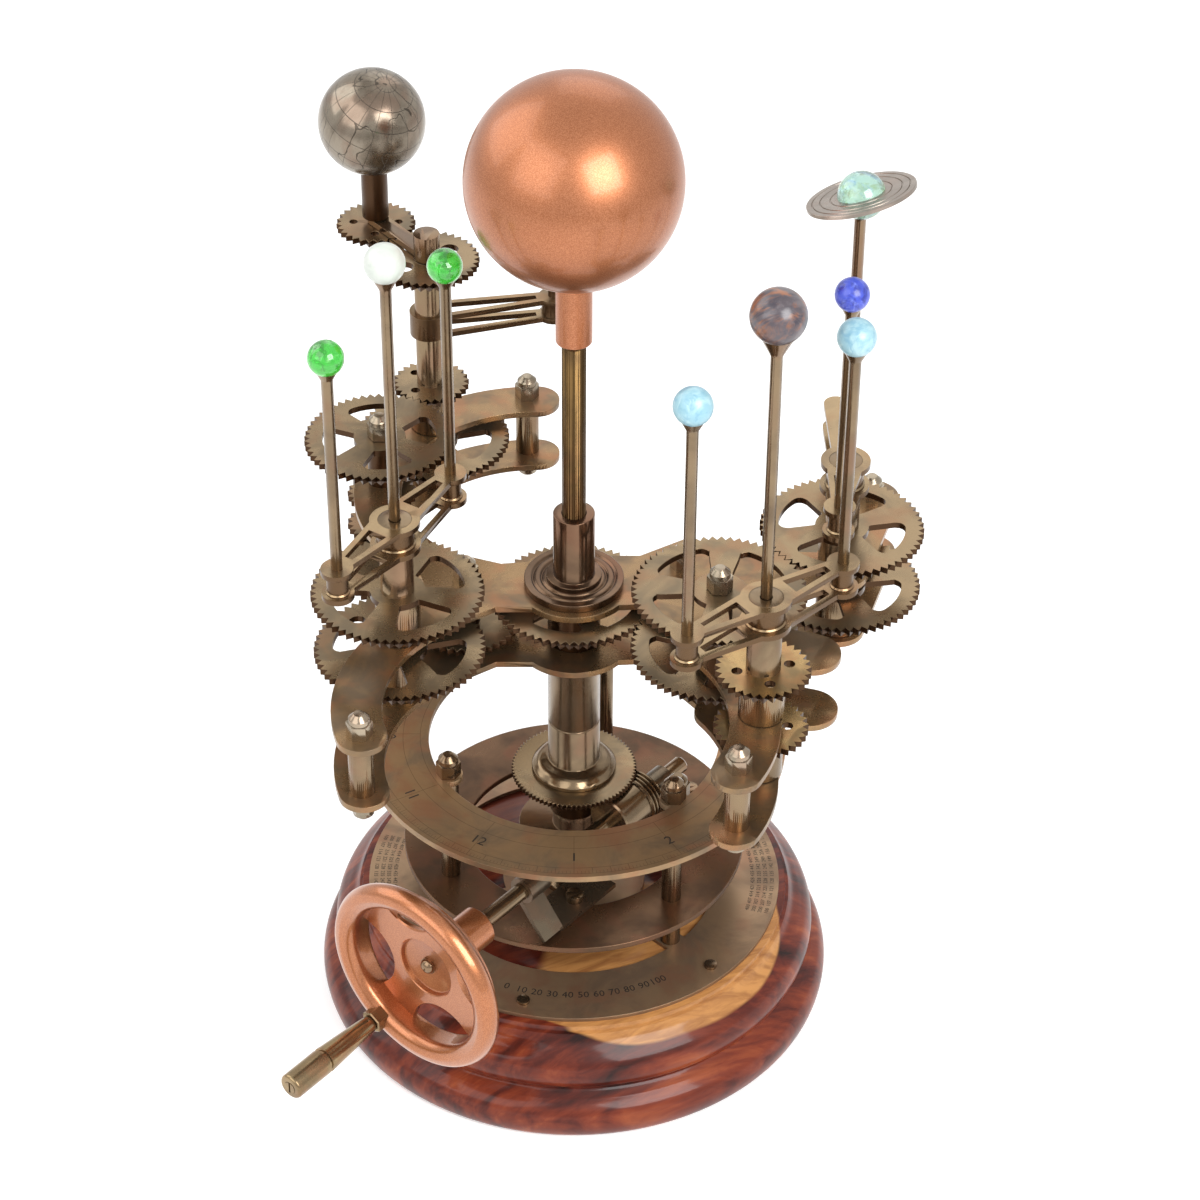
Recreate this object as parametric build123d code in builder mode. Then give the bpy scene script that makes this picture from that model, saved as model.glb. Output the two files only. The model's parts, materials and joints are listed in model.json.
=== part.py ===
"""Hand-cranked geared orrery: wooden foot, fixed scale ring and spindle, and a turning carriage of planet trains.

The origin is the centre of the wooden base's underside, +Z is up, and lengths are in millimetres.
The carriage (both wing plates and all they carry) turns on the central spindle. Its trains roll on the
sun gear, which is fixed to that spindle, and a worm on the crank shaft turns the drive wheel below.
"""

import os
from math import asin, atan2, cos, degrees, hypot, pi, radians, sin, sqrt

from build123d import *

os.makedirs("parts", exist_ok=True)

# Clearances
RUNNING_FIT = 0.08
END_FLOAT = 0.30
SEAT = 0.02

# Wooden base and what is screwed to it
BASE_RADIUS = 122.0
BASE_HEIGHT = 53.5
BEAD_HEIGHT = 21.0
BEAD_STEP = 8.0
SHOULDER_RADIUS = 115.0
LIP_RADIUS = 102.0
BASE_PLATE_RADIUS = 98.4
BASE_PLATE_THICKNESS = 2.0
BASE_PLATE_WINDOW = 68.0
BASE_PLATE_HUB = 34.0
SPOKE_WIDTH = 11.0
SCREW_HEAD_RADIUS = 3.0
SCREW_HEAD_HEIGHT = 1.4
SCREW_CIRCLE = 90.0
PLATE_SCREWS = 6

# Lower disc, scale ring and their posts
POST_ANGLES = (-45.0, 77.0, 206.0)
POST_CIRCLE = 64.0
POST_RADIUS = 4.6
SPACER_LENGTH = 24.2
LOWER_DISC_RADIUS = 80.6
LOWER_DISC_HOLE = 52.0
LOWER_DISC_THICKNESS = 3.0
POST_LENGTH = 57.5
RING_OUTER = 98.6
RING_INNER = 67.6
RING_THICKNESS = 3.0
RING_TAB_RADIUS = 6.5
NUT_ACROSS_FLATS = 10.0
NUT_HEIGHT = 7.0
DOME_RADIUS = 4.6

# Pedestal and fixed spindle
PEDESTAL_FLANGE_RADIUS = 26.0
PEDESTAL_FLANGE_TOP = 90.0
PEDESTAL_FLANGE_THICKNESS = 3.0
PEDESTAL_NECK = 10.0
PEDESTAL_TOP = 99.7
SPINDLE_RADIUS = 5.3

# Crank shaft, worm and handwheel
SHAFT_HEIGHT = 108.0
SHAFT_ANGLE = 50.0
SHAFT_OFFSET = 26.3
SHAFT_RADIUS = 4.0
WORM_RADIUS = 13.0
WORM_THREAD = 1.0
WORM_FROM = -12.6
WORM_LENGTH = 27.0
WORM_TURNS = 6
SHAFT_REAR = 56.0
FRONT_BEARING_AT = -62.0
REAR_BEARING_AT = 27.0
BEARING_WIDTH = 13.0
STRAP = 2.0
BEARING_RADIUS = 8.0
BEARING_FOOT = 16.0
FRONT_LEAN = 6.0
FRONT_FOOT_LENGTH = 48.0
REAR_FOOT_LENGTH = 40.0
CLAMP_BOLT_SIDE = 14.5
FOOT_BOLT_RADIUS = 4.0
WHEEL_AT = -131.0
WHEEL_RADIUS = 46.0
WHEEL_RIM = 5.5
WHEEL_DISH = 9.0
WHEEL_WEB = 3.0
WHEEL_HUB_RADIUS = 9.5
WHEEL_HUB_LENGTH = 34.0
WHEEL_RECESS_RADIUS = 14.0
WHEEL_RECESS_DEPTH = 2.5
WHEEL_WINDOW_RADIUS = 9.0
WHEEL_WINDOW_CIRCLE = 25.5
HANDLE_ANGLE = -60.0
STEM_RADIUS = 2.2
STEM_NUT = 6.0
END_SCREW_RADIUS = 3.2
GRIP_LENGTH = 52.0
GRIP_RADIUS = 5.8
GRIP_NECK = 3.0

# Drive wheel and column
WORM_GAP = 0.35
DRIVE_TEETH = 82
DRIVE_MODULE = 0.7
DRIVE_THICKNESS = 2.6
DRIVE_BOSS = 11.5
FLANGE_RADIUS = 19.7
FLANGE_HEIGHT = 6.5
COLUMN_RADIUS = 12.0
COLUMN_SPLIT = 153.0
COLUMN_CAP_RADIUS = 18.0
COLUMN_CAP_HEIGHT = 3.6

# Wing plates
LOWER_PLATE_BOTTOM = 197.6
PLATE_THICKNESS = 3.0
PLATE_GAP = 28.4
PLATE_HUB = 26.0
HORN_HALF = 11.0
HORN_ARC = 73.5
PILLAR_RADIUS = 5.6
STUD_RADIUS = 3.0
SLEEVE_RADIUS = 6.0
TUBE_COLLAR = 10.0
LOBE_HALF = 13.0

# Gear trains: one module for all planet gears
MODULE = 1.25
TOOTH_TOP = 0.95
TOOTH_ROOT = 1.2
GEAR_THICKNESS = 3.0
GEAR_LEVEL = 222.8
UPPER_RISE = 31.4
LOW_LEVEL = 205.5
SUN_TEETH = 58
PINION_TEETH = 20
LEFT_TEETH = 59
TRANSFER_TEETH = 36
REAR_IDLER_TEETH = 40
CLUSTER_LOW_TEETH = 25
CLUSTER_MID_TEETH = 24
CLUSTER_TOP_TEETH = 54
EARTH_WHEEL_TEETH = 57
EARTH_PINION_TEETH = 27
EARTH_SUN_TEETH = 37
GLOBE_TEETH = 28
RIGHT_TEETH = 60
RIGHT_PINION_TEETH = 31
FAR_TEETH = 57
GEAR_HUB = 12.0
GEAR_RIM = 8.0
SPOKE = 8.0
HOLE_CIRCLE = 0.6
HOLE_SIZE = 0.11

# Planet arms, tubes and rods
TUBE_RADIUS = 7.4
ROD_RADIUS = 2.5
ARM_REACH = 41.5
ARM_HUB = 11.0
ARM_BOSS = 7.0
ARM_THICKNESS = 2.6
ARM_TOP = 295.0
ARM_GAP = 12.5
ARM_RAIL = 2.6
LEFT_ARM_ANGLE = 56.5
RIGHT_ARM_ANGLE = 36.0

# Balls
SUN_RADIUS = 46.0
SUN_HEIGHT = 440.0
SOCKET_RADIUS = 7.9
SOCKET_BOTTOM = 362.0
WHITE_RADIUS = 8.7
WHITE_HEIGHT = 424.0
GREEN_RADIUS = 7.6
GREEN_HEIGHT = 401.0
BROWN_RADIUS = 11.6
BROWN_HEIGHT = 434.0
SKY_RADIUS = 8.1
SKY_HEIGHT = 408.0
BLUE_RADIUS = 7.4
BLUE_HEIGHT = 401.0
RINGED_RADIUS = 8.3
RINGED_HEIGHT = 428.0
PLANET_RING_OUTER = 21.3
PLANET_RING_TILT = 14.0
PLANET_RING_THICKNESS = 1.2
GLOBE_RADIUS = 24.8
GLOBE_HEIGHT = 379.0
MARKER_RADIUS = 5.5
MARKER_HEIGHT = 309.0

# Earth group
EARTH_TUBE = 6.4
EARTH_SPINDLE = 3.2
EARTH_SUN_LEVEL = 322.5
EARTH_CAP_RADIUS = 6.0
EARTH_CAP_HEIGHT = 13.0
GLOBE_POST = 6.2
LONG_ARM_REACH = 59.5
LONG_ARM_ANGLE = 12.6
LONG_ARM_TOP = 297.0
LONG_ARM_BOTTOM = 285.0
LONG_ARM_HUB = 9.0
GLOBE_ARM_HALF = 4.0
GLOBE_ANGLE = 128.0

# Far arm
FAR_ARM_REACH = 34.5
FAR_ARM_TAIL = 44.0
FAR_ARM_TOP = 293.0
FAR_ARM_ANGLE = -98.0
FAR_TAIL_ANGLE = 92.0

# Top of the carriage
GROOVED_RADIUS = 22.4
GROOVED_HEIGHT = 3.6
GROOVES = (18.5, 14.5)
SLEEVE_FLANGE = 12.5
TOP_SLEEVE_RADIUS = 9.3
TOP_SLEEVE_TOP = 271.0

# Heights that follow from the sizes above
plate_top = BASE_HEIGHT + BASE_PLATE_THICKNESS
disc_bottom = plate_top + SPACER_LENGTH
disc_top = disc_bottom + LOWER_DISC_THICKNESS
ring_bottom = disc_top + POST_LENGTH
ring_top = ring_bottom + RING_THICKNESS
drive_bottom = SHAFT_HEIGHT + WORM_RADIUS + WORM_GAP
drive_top = drive_bottom + DRIVE_THICKNESS
lower_top = LOWER_PLATE_BOTTOM + PLATE_THICKNESS
upper_bottom = lower_top + PLATE_GAP
upper_top = upper_bottom + PLATE_THICKNESS
upper_gear_level = GEAR_LEVEL + UPPER_RISE
grooved_top = upper_top + GROOVED_HEIGHT
arm_lower_top = ARM_TOP - ARM_GAP
arm_bottom = arm_lower_top - ARM_THICKNESS
wheel_front = WHEEL_AT - WHEEL_WEB + WHEEL_RECESS_DEPTH
spindle_bore = SPINDLE_RADIUS + RUNNING_FIT
sun_bottom = SUN_HEIGHT - SUN_RADIUS


def polar(centre, reach, angle):
    """Point at a distance and an angle in degrees from a plan centre."""
    return (centre[0] + reach * cos(radians(angle)), centre[1] + reach * sin(radians(angle)))


def direction(start, end):
    """Plan angle in degrees of the line from one centre to another."""
    return degrees(atan2(end[1] - start[1], end[0] - start[0]))


def mesh_distance(first_teeth, second_teeth):
    """Centre distance of two meshing wheels of the common module."""
    return (first_teeth + second_teeth) * MODULE / 2


def meshed_phase(teeth, centre, other_teeth, other_centre, other_phase):
    """Angle of a wheel's first tooth that puts its gaps opposite the teeth of its neighbour."""
    pitch = 360 / teeth
    other_pitch = 360 / other_teeth
    heading = direction(other_centre, centre)
    other_part = ((heading - other_phase) / other_pitch) % 1
    return heading + 180 - pitch * (0.5 - other_part)


# Plan centres of the carriage's axes: the sun gear is the origin of the trains
SUN = (0.0, 0.0)
TRANSFER = polar(SUN, mesh_distance(SUN_TEETH, PINION_TEETH), 176.6)
LEFT = polar(TRANSFER, mesh_distance(PINION_TEETH, LEFT_TEETH), 235.0)
REAR_IDLER = polar(TRANSFER, mesh_distance(TRANSFER_TEETH, REAR_IDLER_TEETH), 130.0)
CLUSTER = polar(REAR_IDLER, mesh_distance(REAR_IDLER_TEETH, CLUSTER_LOW_TEETH), 105.4)
EARTH = polar(CLUSTER, mesh_distance(CLUSTER_TOP_TEETH, EARTH_PINION_TEETH), 64.0)
GLOBE = polar(EARTH, mesh_distance(EARTH_SUN_TEETH, GLOBE_TEETH), GLOBE_ANGLE)
RIGHT_IDLER = polar(SUN, mesh_distance(SUN_TEETH, RIGHT_TEETH), -30.6)
RIGHT = polar(RIGHT_IDLER, mesh_distance(RIGHT_TEETH, RIGHT_PINION_TEETH), -73.0)
FAR = polar(RIGHT_IDLER, mesh_distance(RIGHT_TEETH, FAR_TEETH), 39.7)
LEFT_TIP = (-91.0, -106.0)
REAR_TIP = (-22.7, 148.5)
RIGHT_TIP = (69.0, -128.0)
RIGHT_PILLAR = (49.0, 12.0)
FAR_TIP = (138.0, 66.0)
LOBE_TIP = (104.0, -50.0)

# Plan outline of the wings: filled necks and three curved horns about their arc centres
LEFT_WING = ((0, 18), (-33, 14), (-60, 24), (-70, 8), (-66, -6), (-72, -24), (-56, -32), (-35, -18), (0, -18))
RIGHT_WING = ((0, 20), (30, 20), (51, 33), (80, 10), (86, -32), (74, -60), (54, -48), (30, -16), (0, -18))
left_front_horn = CenterArc((-20, -85), HORN_ARC, 122, 75)
left_rear_horn = CenterArc((-18, 72), HORN_ARC, 90, 145)
right_front_horn = CenterArc((4, -95), HORN_ARC, -29, 64)

# Angle of the first tooth of every wheel, worked outward from the sun gear
sun_phase = 0.0
pinion_phase = meshed_phase(PINION_TEETH, TRANSFER, SUN_TEETH, SUN, sun_phase)
left_phase = meshed_phase(LEFT_TEETH, LEFT, PINION_TEETH, TRANSFER, pinion_phase)
transfer_phase = 0.0
rear_idler_phase = meshed_phase(REAR_IDLER_TEETH, REAR_IDLER, TRANSFER_TEETH, TRANSFER, transfer_phase)
low_phase = meshed_phase(CLUSTER_LOW_TEETH, CLUSTER, REAR_IDLER_TEETH, REAR_IDLER, rear_idler_phase)
cluster_phase = 0.0
wheel_phase = meshed_phase(EARTH_WHEEL_TEETH, EARTH, CLUSTER_MID_TEETH, CLUSTER, cluster_phase)
earth_phase = meshed_phase(EARTH_PINION_TEETH, EARTH, CLUSTER_TOP_TEETH, CLUSTER, cluster_phase)
globe_phase = meshed_phase(GLOBE_TEETH, GLOBE, EARTH_SUN_TEETH, EARTH, earth_phase)
idler_phase = meshed_phase(RIGHT_TEETH, RIGHT_IDLER, SUN_TEETH, SUN, sun_phase)
right_phase = meshed_phase(RIGHT_PINION_TEETH, RIGHT, RIGHT_TEETH, RIGHT_IDLER, idler_phase)
far_phase = meshed_phase(FAR_TEETH, FAR, RIGHT_TEETH, RIGHT_IDLER, idler_phase)

# Crank frame: local +X runs along the shaft away from the handwheel, local +Y is up
shaft_plane = Plane(
    origin=(*polar((0, 0), SHAFT_OFFSET, SHAFT_ANGLE - 90), SHAFT_HEIGHT),
    x_dir=(cos(radians(SHAFT_ANGLE)), sin(radians(SHAFT_ANGLE)), 0),
    z_dir=(sin(radians(SHAFT_ANGLE)), -cos(radians(SHAFT_ANGLE)), 0),
)
handle_plane = Plane(
    origin=shaft_plane.from_local_coords((0, 0, 0))
    + shaft_plane.z_dir * (-(WHEEL_RADIUS - WHEEL_RIM) * cos(radians(HANDLE_ANGLE)))
    + Vector(0, 0, (WHEEL_RADIUS - WHEEL_RIM) * sin(radians(HANDLE_ANGLE))),
    x_dir=shaft_plane.x_dir,
    z_dir=shaft_plane.z_dir,
)


def toothed_outline(teeth, module, phase):
    """Points of a wheel outline: one crest and one root per tooth, with straight flanks."""
    pitch_radius = teeth * module / 2
    points = []
    for index in range(teeth):
        angle = phase + index * 360 / teeth
        points.append(polar((0, 0), pitch_radius + TOOTH_TOP * module, angle))
        points.append(polar((0, 0), pitch_radius - TOOTH_ROOT * module, angle + 180 / teeth))
    return points


def wheel(centre, bottom, teeth, phase, bore, windows=0, holes=0, module=MODULE, thickness=GEAR_THICKNESS):
    """Spur wheel with a plain bore and optional spoked windows or round lightening holes."""
    pitch_radius = teeth * module / 2
    window_outer = pitch_radius - GEAR_RIM
    level = Plane((*centre, bottom))
    with BuildPart() as gear:
        with BuildSketch(level):
            with BuildLine():
                Polyline(toothed_outline(teeth, module, phase), close=True)
            make_face()
            Circle(bore, mode=Mode.SUBTRACT)
            if holes:
                with PolarLocations(pitch_radius * HOLE_CIRCLE, holes):
                    Circle(pitch_radius * HOLE_SIZE, mode=Mode.SUBTRACT)
        extrude(amount=thickness)
        if windows:
            with BuildSketch(level) as openings:
                Circle(window_outer)
                Circle(GEAR_HUB, mode=Mode.SUBTRACT)
                with PolarLocations(0, windows, start_angle=phase):
                    with Locations((window_outer / 2, 0)):
                        Rectangle(window_outer * 1.1, SPOKE, mode=Mode.SUBTRACT)
                chamfer(openings.vertices().filter_by(lambda v: hypot(v.X, v.Y) > window_outer - 1), SPOKE / 3)
            extrude(amount=thickness, mode=Mode.SUBTRACT)
    return gear.part


def turned(plane, profile):
    """Solid of revolution about a plane's local Y axis from (radius, height) points."""
    with BuildPart() as solid:
        with BuildSketch(plane):
            with BuildLine():
                Polyline(profile, close=True)
            make_face()
        revolve(axis=Axis(plane.origin, plane.y_dir))
    return solid.part


def upright(centre):
    """Plane whose local X is radial and local Y is up, through a plan centre."""
    return Plane((*centre, 0), x_dir=(1, 0, 0), z_dir=(0, -1, 0))


def tube(centre, bottom, top, radius, bore):
    """Plain vertical sleeve, or a rod where the bore is zero."""
    with BuildPart() as sleeve:
        with BuildSketch(Plane((*centre, bottom))):
            Circle(radius)
            if bore:
                Circle(bore, mode=Mode.SUBTRACT)
        extrude(amount=top - bottom)
    return sleeve.part


def cupped_rod(centre, bottom, radius, ball_height, ball_radius):
    """Rod whose flared tip is hollowed to seat a ball."""
    lip = 0.62 * ball_radius
    rim = ball_height - sqrt(ball_radius**2 - lip**2)
    flare = rim - 2 * (lip - radius)
    outline = [(0, bottom), (radius, bottom), (radius, flare), (lip, rim), (0, rim)]
    with BuildPart() as rod:
        add(turned(upright(centre), outline))
        with Locations((*centre, ball_height)):
            Sphere(ball_radius + SEAT, mode=Mode.SUBTRACT)
    return rod.part


def acorn_nut(centre, seat, rise=1):
    """Hexagon nut with a domed cap, standing up (1) or hanging down (-1) from its seat."""
    with BuildPart() as nut:
        with BuildSketch(Plane((*centre, seat), z_dir=(0, 0, rise))):
            RegularPolygon(NUT_ACROSS_FLATS / 2, 6, major_radius=False)
        extrude(amount=NUT_HEIGHT)
        with BuildSketch(Plane((*centre, seat + rise * NUT_HEIGHT), z_dir=(0, 0, rise))):
            Circle(DOME_RADIUS)
        extrude(amount=DOME_RADIUS)
        chamfer(nut.edges().filter_by(GeomType.CIRCLE).sort_by(Axis.Z)[-1 if rise > 0 else 0], DOME_RADIUS / 2)
    return nut.part


def flat_bar(centre, heading, top, reaches, hub_radius, bore):
    """Pierced arm plate: a hub, and on each side given two rails that close on an end boss."""
    root = hub_radius * 0.8
    tip = ARM_BOSS * 0.5
    with BuildPart() as bar:
        with BuildSketch(Plane((*centre, top - ARM_THICKNESS), x_dir=(*polar((0, 0), 1, heading), 0))):
            Circle(hub_radius)
            for reach in reaches:
                inner = hub_radius + ARM_RAIL / 2
                outer = abs(reach) - ARM_BOSS - ARM_RAIL / 2
                side = reach / abs(reach)
                slope = (tip - root) / abs(reach)
                near = root + slope * inner - ARM_RAIL
                far = root + slope * outer - ARM_RAIL
                with BuildLine():
                    Polyline((0, root), (reach, tip), (reach, -tip), (0, -root), close=True)
                make_face()
                with Locations((reach, 0)):
                    Circle(ARM_BOSS)
                    Circle(ROD_RADIUS + SEAT, mode=Mode.SUBTRACT)
                with BuildLine():
                    Polyline(
                        (side * inner, near), (side * outer, far), (side * outer, -far), (side * inner, -near),
                        close=True,
                    )
                make_face(mode=Mode.SUBTRACT)
            Circle(bore, mode=Mode.SUBTRACT)
        extrude(amount=ARM_THICKNESS)
    return bar.part


def strap(start, end, half_width):
    """Round-ended strap between two plan points, added to the sketch in progress."""
    middle = ((start[0] + end[0]) / 2, (start[1] + end[1]) / 2, 0)
    with Locations(Location(middle, (0, 0, direction(start, end)))):
        SlotCenterToCenter(hypot(end[0] - start[0], end[1] - start[1]), 2 * half_width)


def across(station):
    """Plane square to the crank shaft at a station along it, local +X to the right and +Y up."""
    return Plane(
        origin=shaft_plane.from_local_coords((station, 0, 0)),
        x_dir=shaft_plane.z_dir,
        z_dir=-shaft_plane.x_dir,
    )


def spun(plane, profile):
    """Solid turned about the line of a plane's local X, from (station, radius) points."""
    with BuildPart() as solid:
        with BuildSketch(plane):
            with BuildLine():
                Polyline(profile, close=True)
            make_face()
        revolve(axis=Axis(plane.origin, plane.x_dir))
    return solid.part


# Turned wooden base: a round bead, a groove, a swelling shoulder and a small lip around the plate
with BuildPart() as wood_base:
    with BuildSketch(Plane.XZ):
        with BuildLine():
            Polyline((0, BASE_HEIGHT), (0, 0), (BASE_RADIUS - BEAD_STEP / 2, 0))
            ThreePointArc(
                (BASE_RADIUS - BEAD_STEP / 2, 0),
                (BASE_RADIUS, BEAD_HEIGHT * 0.45),
                (BASE_RADIUS - BEAD_STEP, BEAD_HEIGHT),
            )
            Polyline(
                (BASE_RADIUS - BEAD_STEP, BEAD_HEIGHT),
                (SHOULDER_RADIUS - BEAD_STEP / 2, BEAD_HEIGHT + BEAD_STEP / 4),
                (SHOULDER_RADIUS - BEAD_STEP / 2, BEAD_HEIGHT + BEAD_STEP / 2),
            )
            ThreePointArc(
                (SHOULDER_RADIUS - BEAD_STEP / 2, BEAD_HEIGHT + BEAD_STEP / 2),
                (SHOULDER_RADIUS, BEAD_HEIGHT + BEAD_STEP * 1.4),
                (LIP_RADIUS + BEAD_STEP / 4, BASE_HEIGHT - BEAD_STEP / 2),
            )
            Polyline(
                (LIP_RADIUS + BEAD_STEP / 4, BASE_HEIGHT - BEAD_STEP / 2),
                (LIP_RADIUS, BASE_HEIGHT - BEAD_STEP / 4),
                (LIP_RADIUS - BEAD_STEP / 8, BASE_HEIGHT),
                (0, BASE_HEIGHT),
            )
        make_face()
    revolve(axis=Axis.Z)
wood_base.part.label = "wood_base"
export_step(wood_base.part, "parts/wood_base.step")

# Brass base plate, open between its three spokes
with BuildPart() as base_plate:
    with BuildSketch(Plane.XY.offset(BASE_HEIGHT)):
        Circle(BASE_PLATE_RADIUS)
    extrude(amount=BASE_PLATE_THICKNESS)
    with BuildSketch(Plane.XY.offset(BASE_HEIGHT)) as plate_windows:
        Circle(BASE_PLATE_WINDOW)
        Circle(BASE_PLATE_HUB, mode=Mode.SUBTRACT)
        for angle in POST_ANGLES:
            with Locations(Location((*polar((0, 0), BASE_PLATE_WINDOW / 2, angle), 0), (0, 0, angle))):
                Rectangle(BASE_PLATE_WINDOW * 1.1, SPOKE_WIDTH, mode=Mode.SUBTRACT)
    extrude(amount=BASE_PLATE_THICKNESS, mode=Mode.SUBTRACT)
base_plate.part.label = "base_plate"
export_step(base_plate.part, "parts/base_plate.step")

# Posts: a short spacer under the lower disc and a long post over it, one line for each spoke
with BuildPart() as ring_posts:
    for angle in POST_ANGLES:
        with BuildSketch(Plane((*polar((0, 0), POST_CIRCLE, angle), plate_top))):
            Circle(POST_RADIUS)
        extrude(amount=SPACER_LENGTH)
        with BuildSketch(Plane((*polar((0, 0), POST_CIRCLE, angle), disc_top))):
            Circle(POST_RADIUS)
        extrude(amount=POST_LENGTH)
ring_posts.part.label = "ring_posts"
export_step(ring_posts.part, "parts/ring_posts.step")

# Lower disc with its wide hole
with BuildPart() as lower_disc:
    with BuildSketch(Plane.XY.offset(disc_bottom)):
        Circle(LOWER_DISC_RADIUS)
        Circle(LOWER_DISC_HOLE, mode=Mode.SUBTRACT)
    extrude(amount=LOWER_DISC_THICKNESS)
lower_disc.part.label = "lower_disc"
export_step(lower_disc.part, "parts/lower_disc.step")

# Scale ring, with a tab at each post
with BuildPart() as scale_ring:
    with BuildSketch(Plane.XY.offset(ring_bottom)):
        Circle(RING_OUTER)
        Circle(RING_INNER, mode=Mode.SUBTRACT)
        for angle in POST_ANGLES:
            with Locations(polar((0, 0), POST_CIRCLE, angle)):
                Circle(RING_TAB_RADIUS)
    extrude(amount=RING_THICKNESS)
scale_ring.part.label = "scale_ring"
export_step(scale_ring.part, "parts/scale_ring.step")

ring_nut_solids = [acorn_nut(polar((0, 0), POST_CIRCLE, angle), ring_top) for angle in POST_ANGLES]
with BuildPart() as ring_nuts:
    add(ring_nut_solids)
ring_nuts.part.label = "ring_nuts"
export_step(ring_nuts.part, "parts/ring_nuts.step")

# Pedestal with a broad flange, and the fixed spindle that stands in it
pedestal_outline = [
    (SPINDLE_RADIUS + SEAT, plate_top),
    (PEDESTAL_NECK * 1.6, plate_top),
    (PEDESTAL_NECK * 1.6, plate_top + PEDESTAL_FLANGE_THICKNESS),
    (PEDESTAL_NECK, plate_top + 2 * PEDESTAL_FLANGE_THICKNESS),
    (PEDESTAL_NECK, PEDESTAL_FLANGE_TOP - PEDESTAL_FLANGE_THICKNESS),
    (PEDESTAL_FLANGE_RADIUS, PEDESTAL_FLANGE_TOP - PEDESTAL_FLANGE_THICKNESS),
    (PEDESTAL_FLANGE_RADIUS, PEDESTAL_FLANGE_TOP),
    (PEDESTAL_NECK, PEDESTAL_FLANGE_TOP),
    (PEDESTAL_NECK, PEDESTAL_TOP),
    (SPINDLE_RADIUS + SEAT, PEDESTAL_TOP),
]
pedestal_solid = turned(upright(SUN), pedestal_outline)
with BuildPart() as pedestal:
    add(pedestal_solid)
pedestal.part.label = "pedestal"
export_step(pedestal.part, "parts/pedestal.step")

spindle_solid = tube(SUN, plate_top, sun_bottom - SEAT, SPINDLE_RADIUS, 0)
with BuildPart() as central_spindle:
    add(spindle_solid)
central_spindle.part.label = "central_spindle"
export_step(central_spindle.part, "parts/central_spindle.step")

# Fixed sun gear on a collar that stands just clear of the lower plate
sun_wheel = wheel(SUN, GEAR_LEVEL, SUN_TEETH, sun_phase, SPINDLE_RADIUS + SEAT, windows=5)
sun_collar = tube(SUN, lower_top + END_FLOAT, GEAR_LEVEL, GEAR_HUB, SPINDLE_RADIUS + SEAT)
with BuildPart() as sun_gear:
    add(sun_wheel)
    add(sun_collar)
sun_gear.part.label = "sun_gear"
export_step(sun_gear.part, "parts/sun_gear.step")

# Socket and ball of the sun
with BuildPart() as sun_socket:
    with BuildSketch(Plane.XY.offset(SOCKET_BOTTOM)):
        Circle(SOCKET_RADIUS)
        Circle(SPINDLE_RADIUS + SEAT, mode=Mode.SUBTRACT)
    extrude(amount=SUN_HEIGHT - sqrt(SUN_RADIUS**2 - SOCKET_RADIUS**2) - SOCKET_BOTTOM)
    with Locations((0, 0, SUN_HEIGHT)):
        Sphere(SUN_RADIUS + SEAT, mode=Mode.SUBTRACT)
sun_socket.part.label = "sun_socket"
export_step(sun_socket.part, "parts/sun_socket.step")

with BuildPart() as sun_ball:
    with Locations((0, 0, SUN_HEIGHT)):
        Sphere(SUN_RADIUS)
sun_ball.part.label = "sun_ball"
export_step(sun_ball.part, "parts/sun_ball.step")

# Two bearings of the crank shaft, each a loop on a leg with a foot plate on the lower disc
foot_drop = SHAFT_HEIGHT - disc_top
with BuildPart() as shaft_bearings:
    for station, lean in ((FRONT_BEARING_AT, FRONT_LEAN), (REAR_BEARING_AT, 0)):
        with BuildSketch(across(station + BEARING_WIDTH / 2)):
            with BuildLine():
                Polyline(
                    (-BEARING_RADIUS, 0),
                    (BEARING_RADIUS, 0),
                    (lean + BEARING_RADIUS, -foot_drop),
                    (lean - BEARING_RADIUS, -foot_drop),
                    close=True,
                )
            make_face()
            Circle(BEARING_RADIUS)
            Circle(SHAFT_RADIUS + RUNNING_FIT, mode=Mode.SUBTRACT)
        extrude(amount=BEARING_WIDTH)
    with BuildSketch(Plane(origin=shaft_plane.from_local_coords((FRONT_BEARING_AT - BEARING_WIDTH / 2, -foot_drop,
                                                                 FRONT_LEAN)), x_dir=shaft_plane.x_dir)):
        with Locations((FRONT_FOOT_LENGTH / 2, 0)):
            Rectangle(FRONT_FOOT_LENGTH, BEARING_FOOT)
    extrude(amount=STRAP)
    with BuildSketch(Plane(origin=shaft_plane.from_local_coords((REAR_BEARING_AT - BEARING_WIDTH / 2, -foot_drop, 0)),
                           x_dir=shaft_plane.x_dir)):
        with Locations((REAR_FOOT_LENGTH / 2, 0)):
            Rectangle(REAR_FOOT_LENGTH, BEARING_FOOT)
    extrude(amount=STRAP)
    with BuildSketch(across(REAR_BEARING_AT + BEARING_WIDTH / 2)):
        with Locations((CLAMP_BOLT_SIDE / 2 + BEARING_RADIUS / 2, 0)):
            Rectangle(CLAMP_BOLT_SIDE, STRAP * 3)
    extrude(amount=BEARING_WIDTH)
shaft_bearings.part.label = "shaft_bearings"
export_step(shaft_bearings.part, "parts/shaft_bearings.step")

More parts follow.
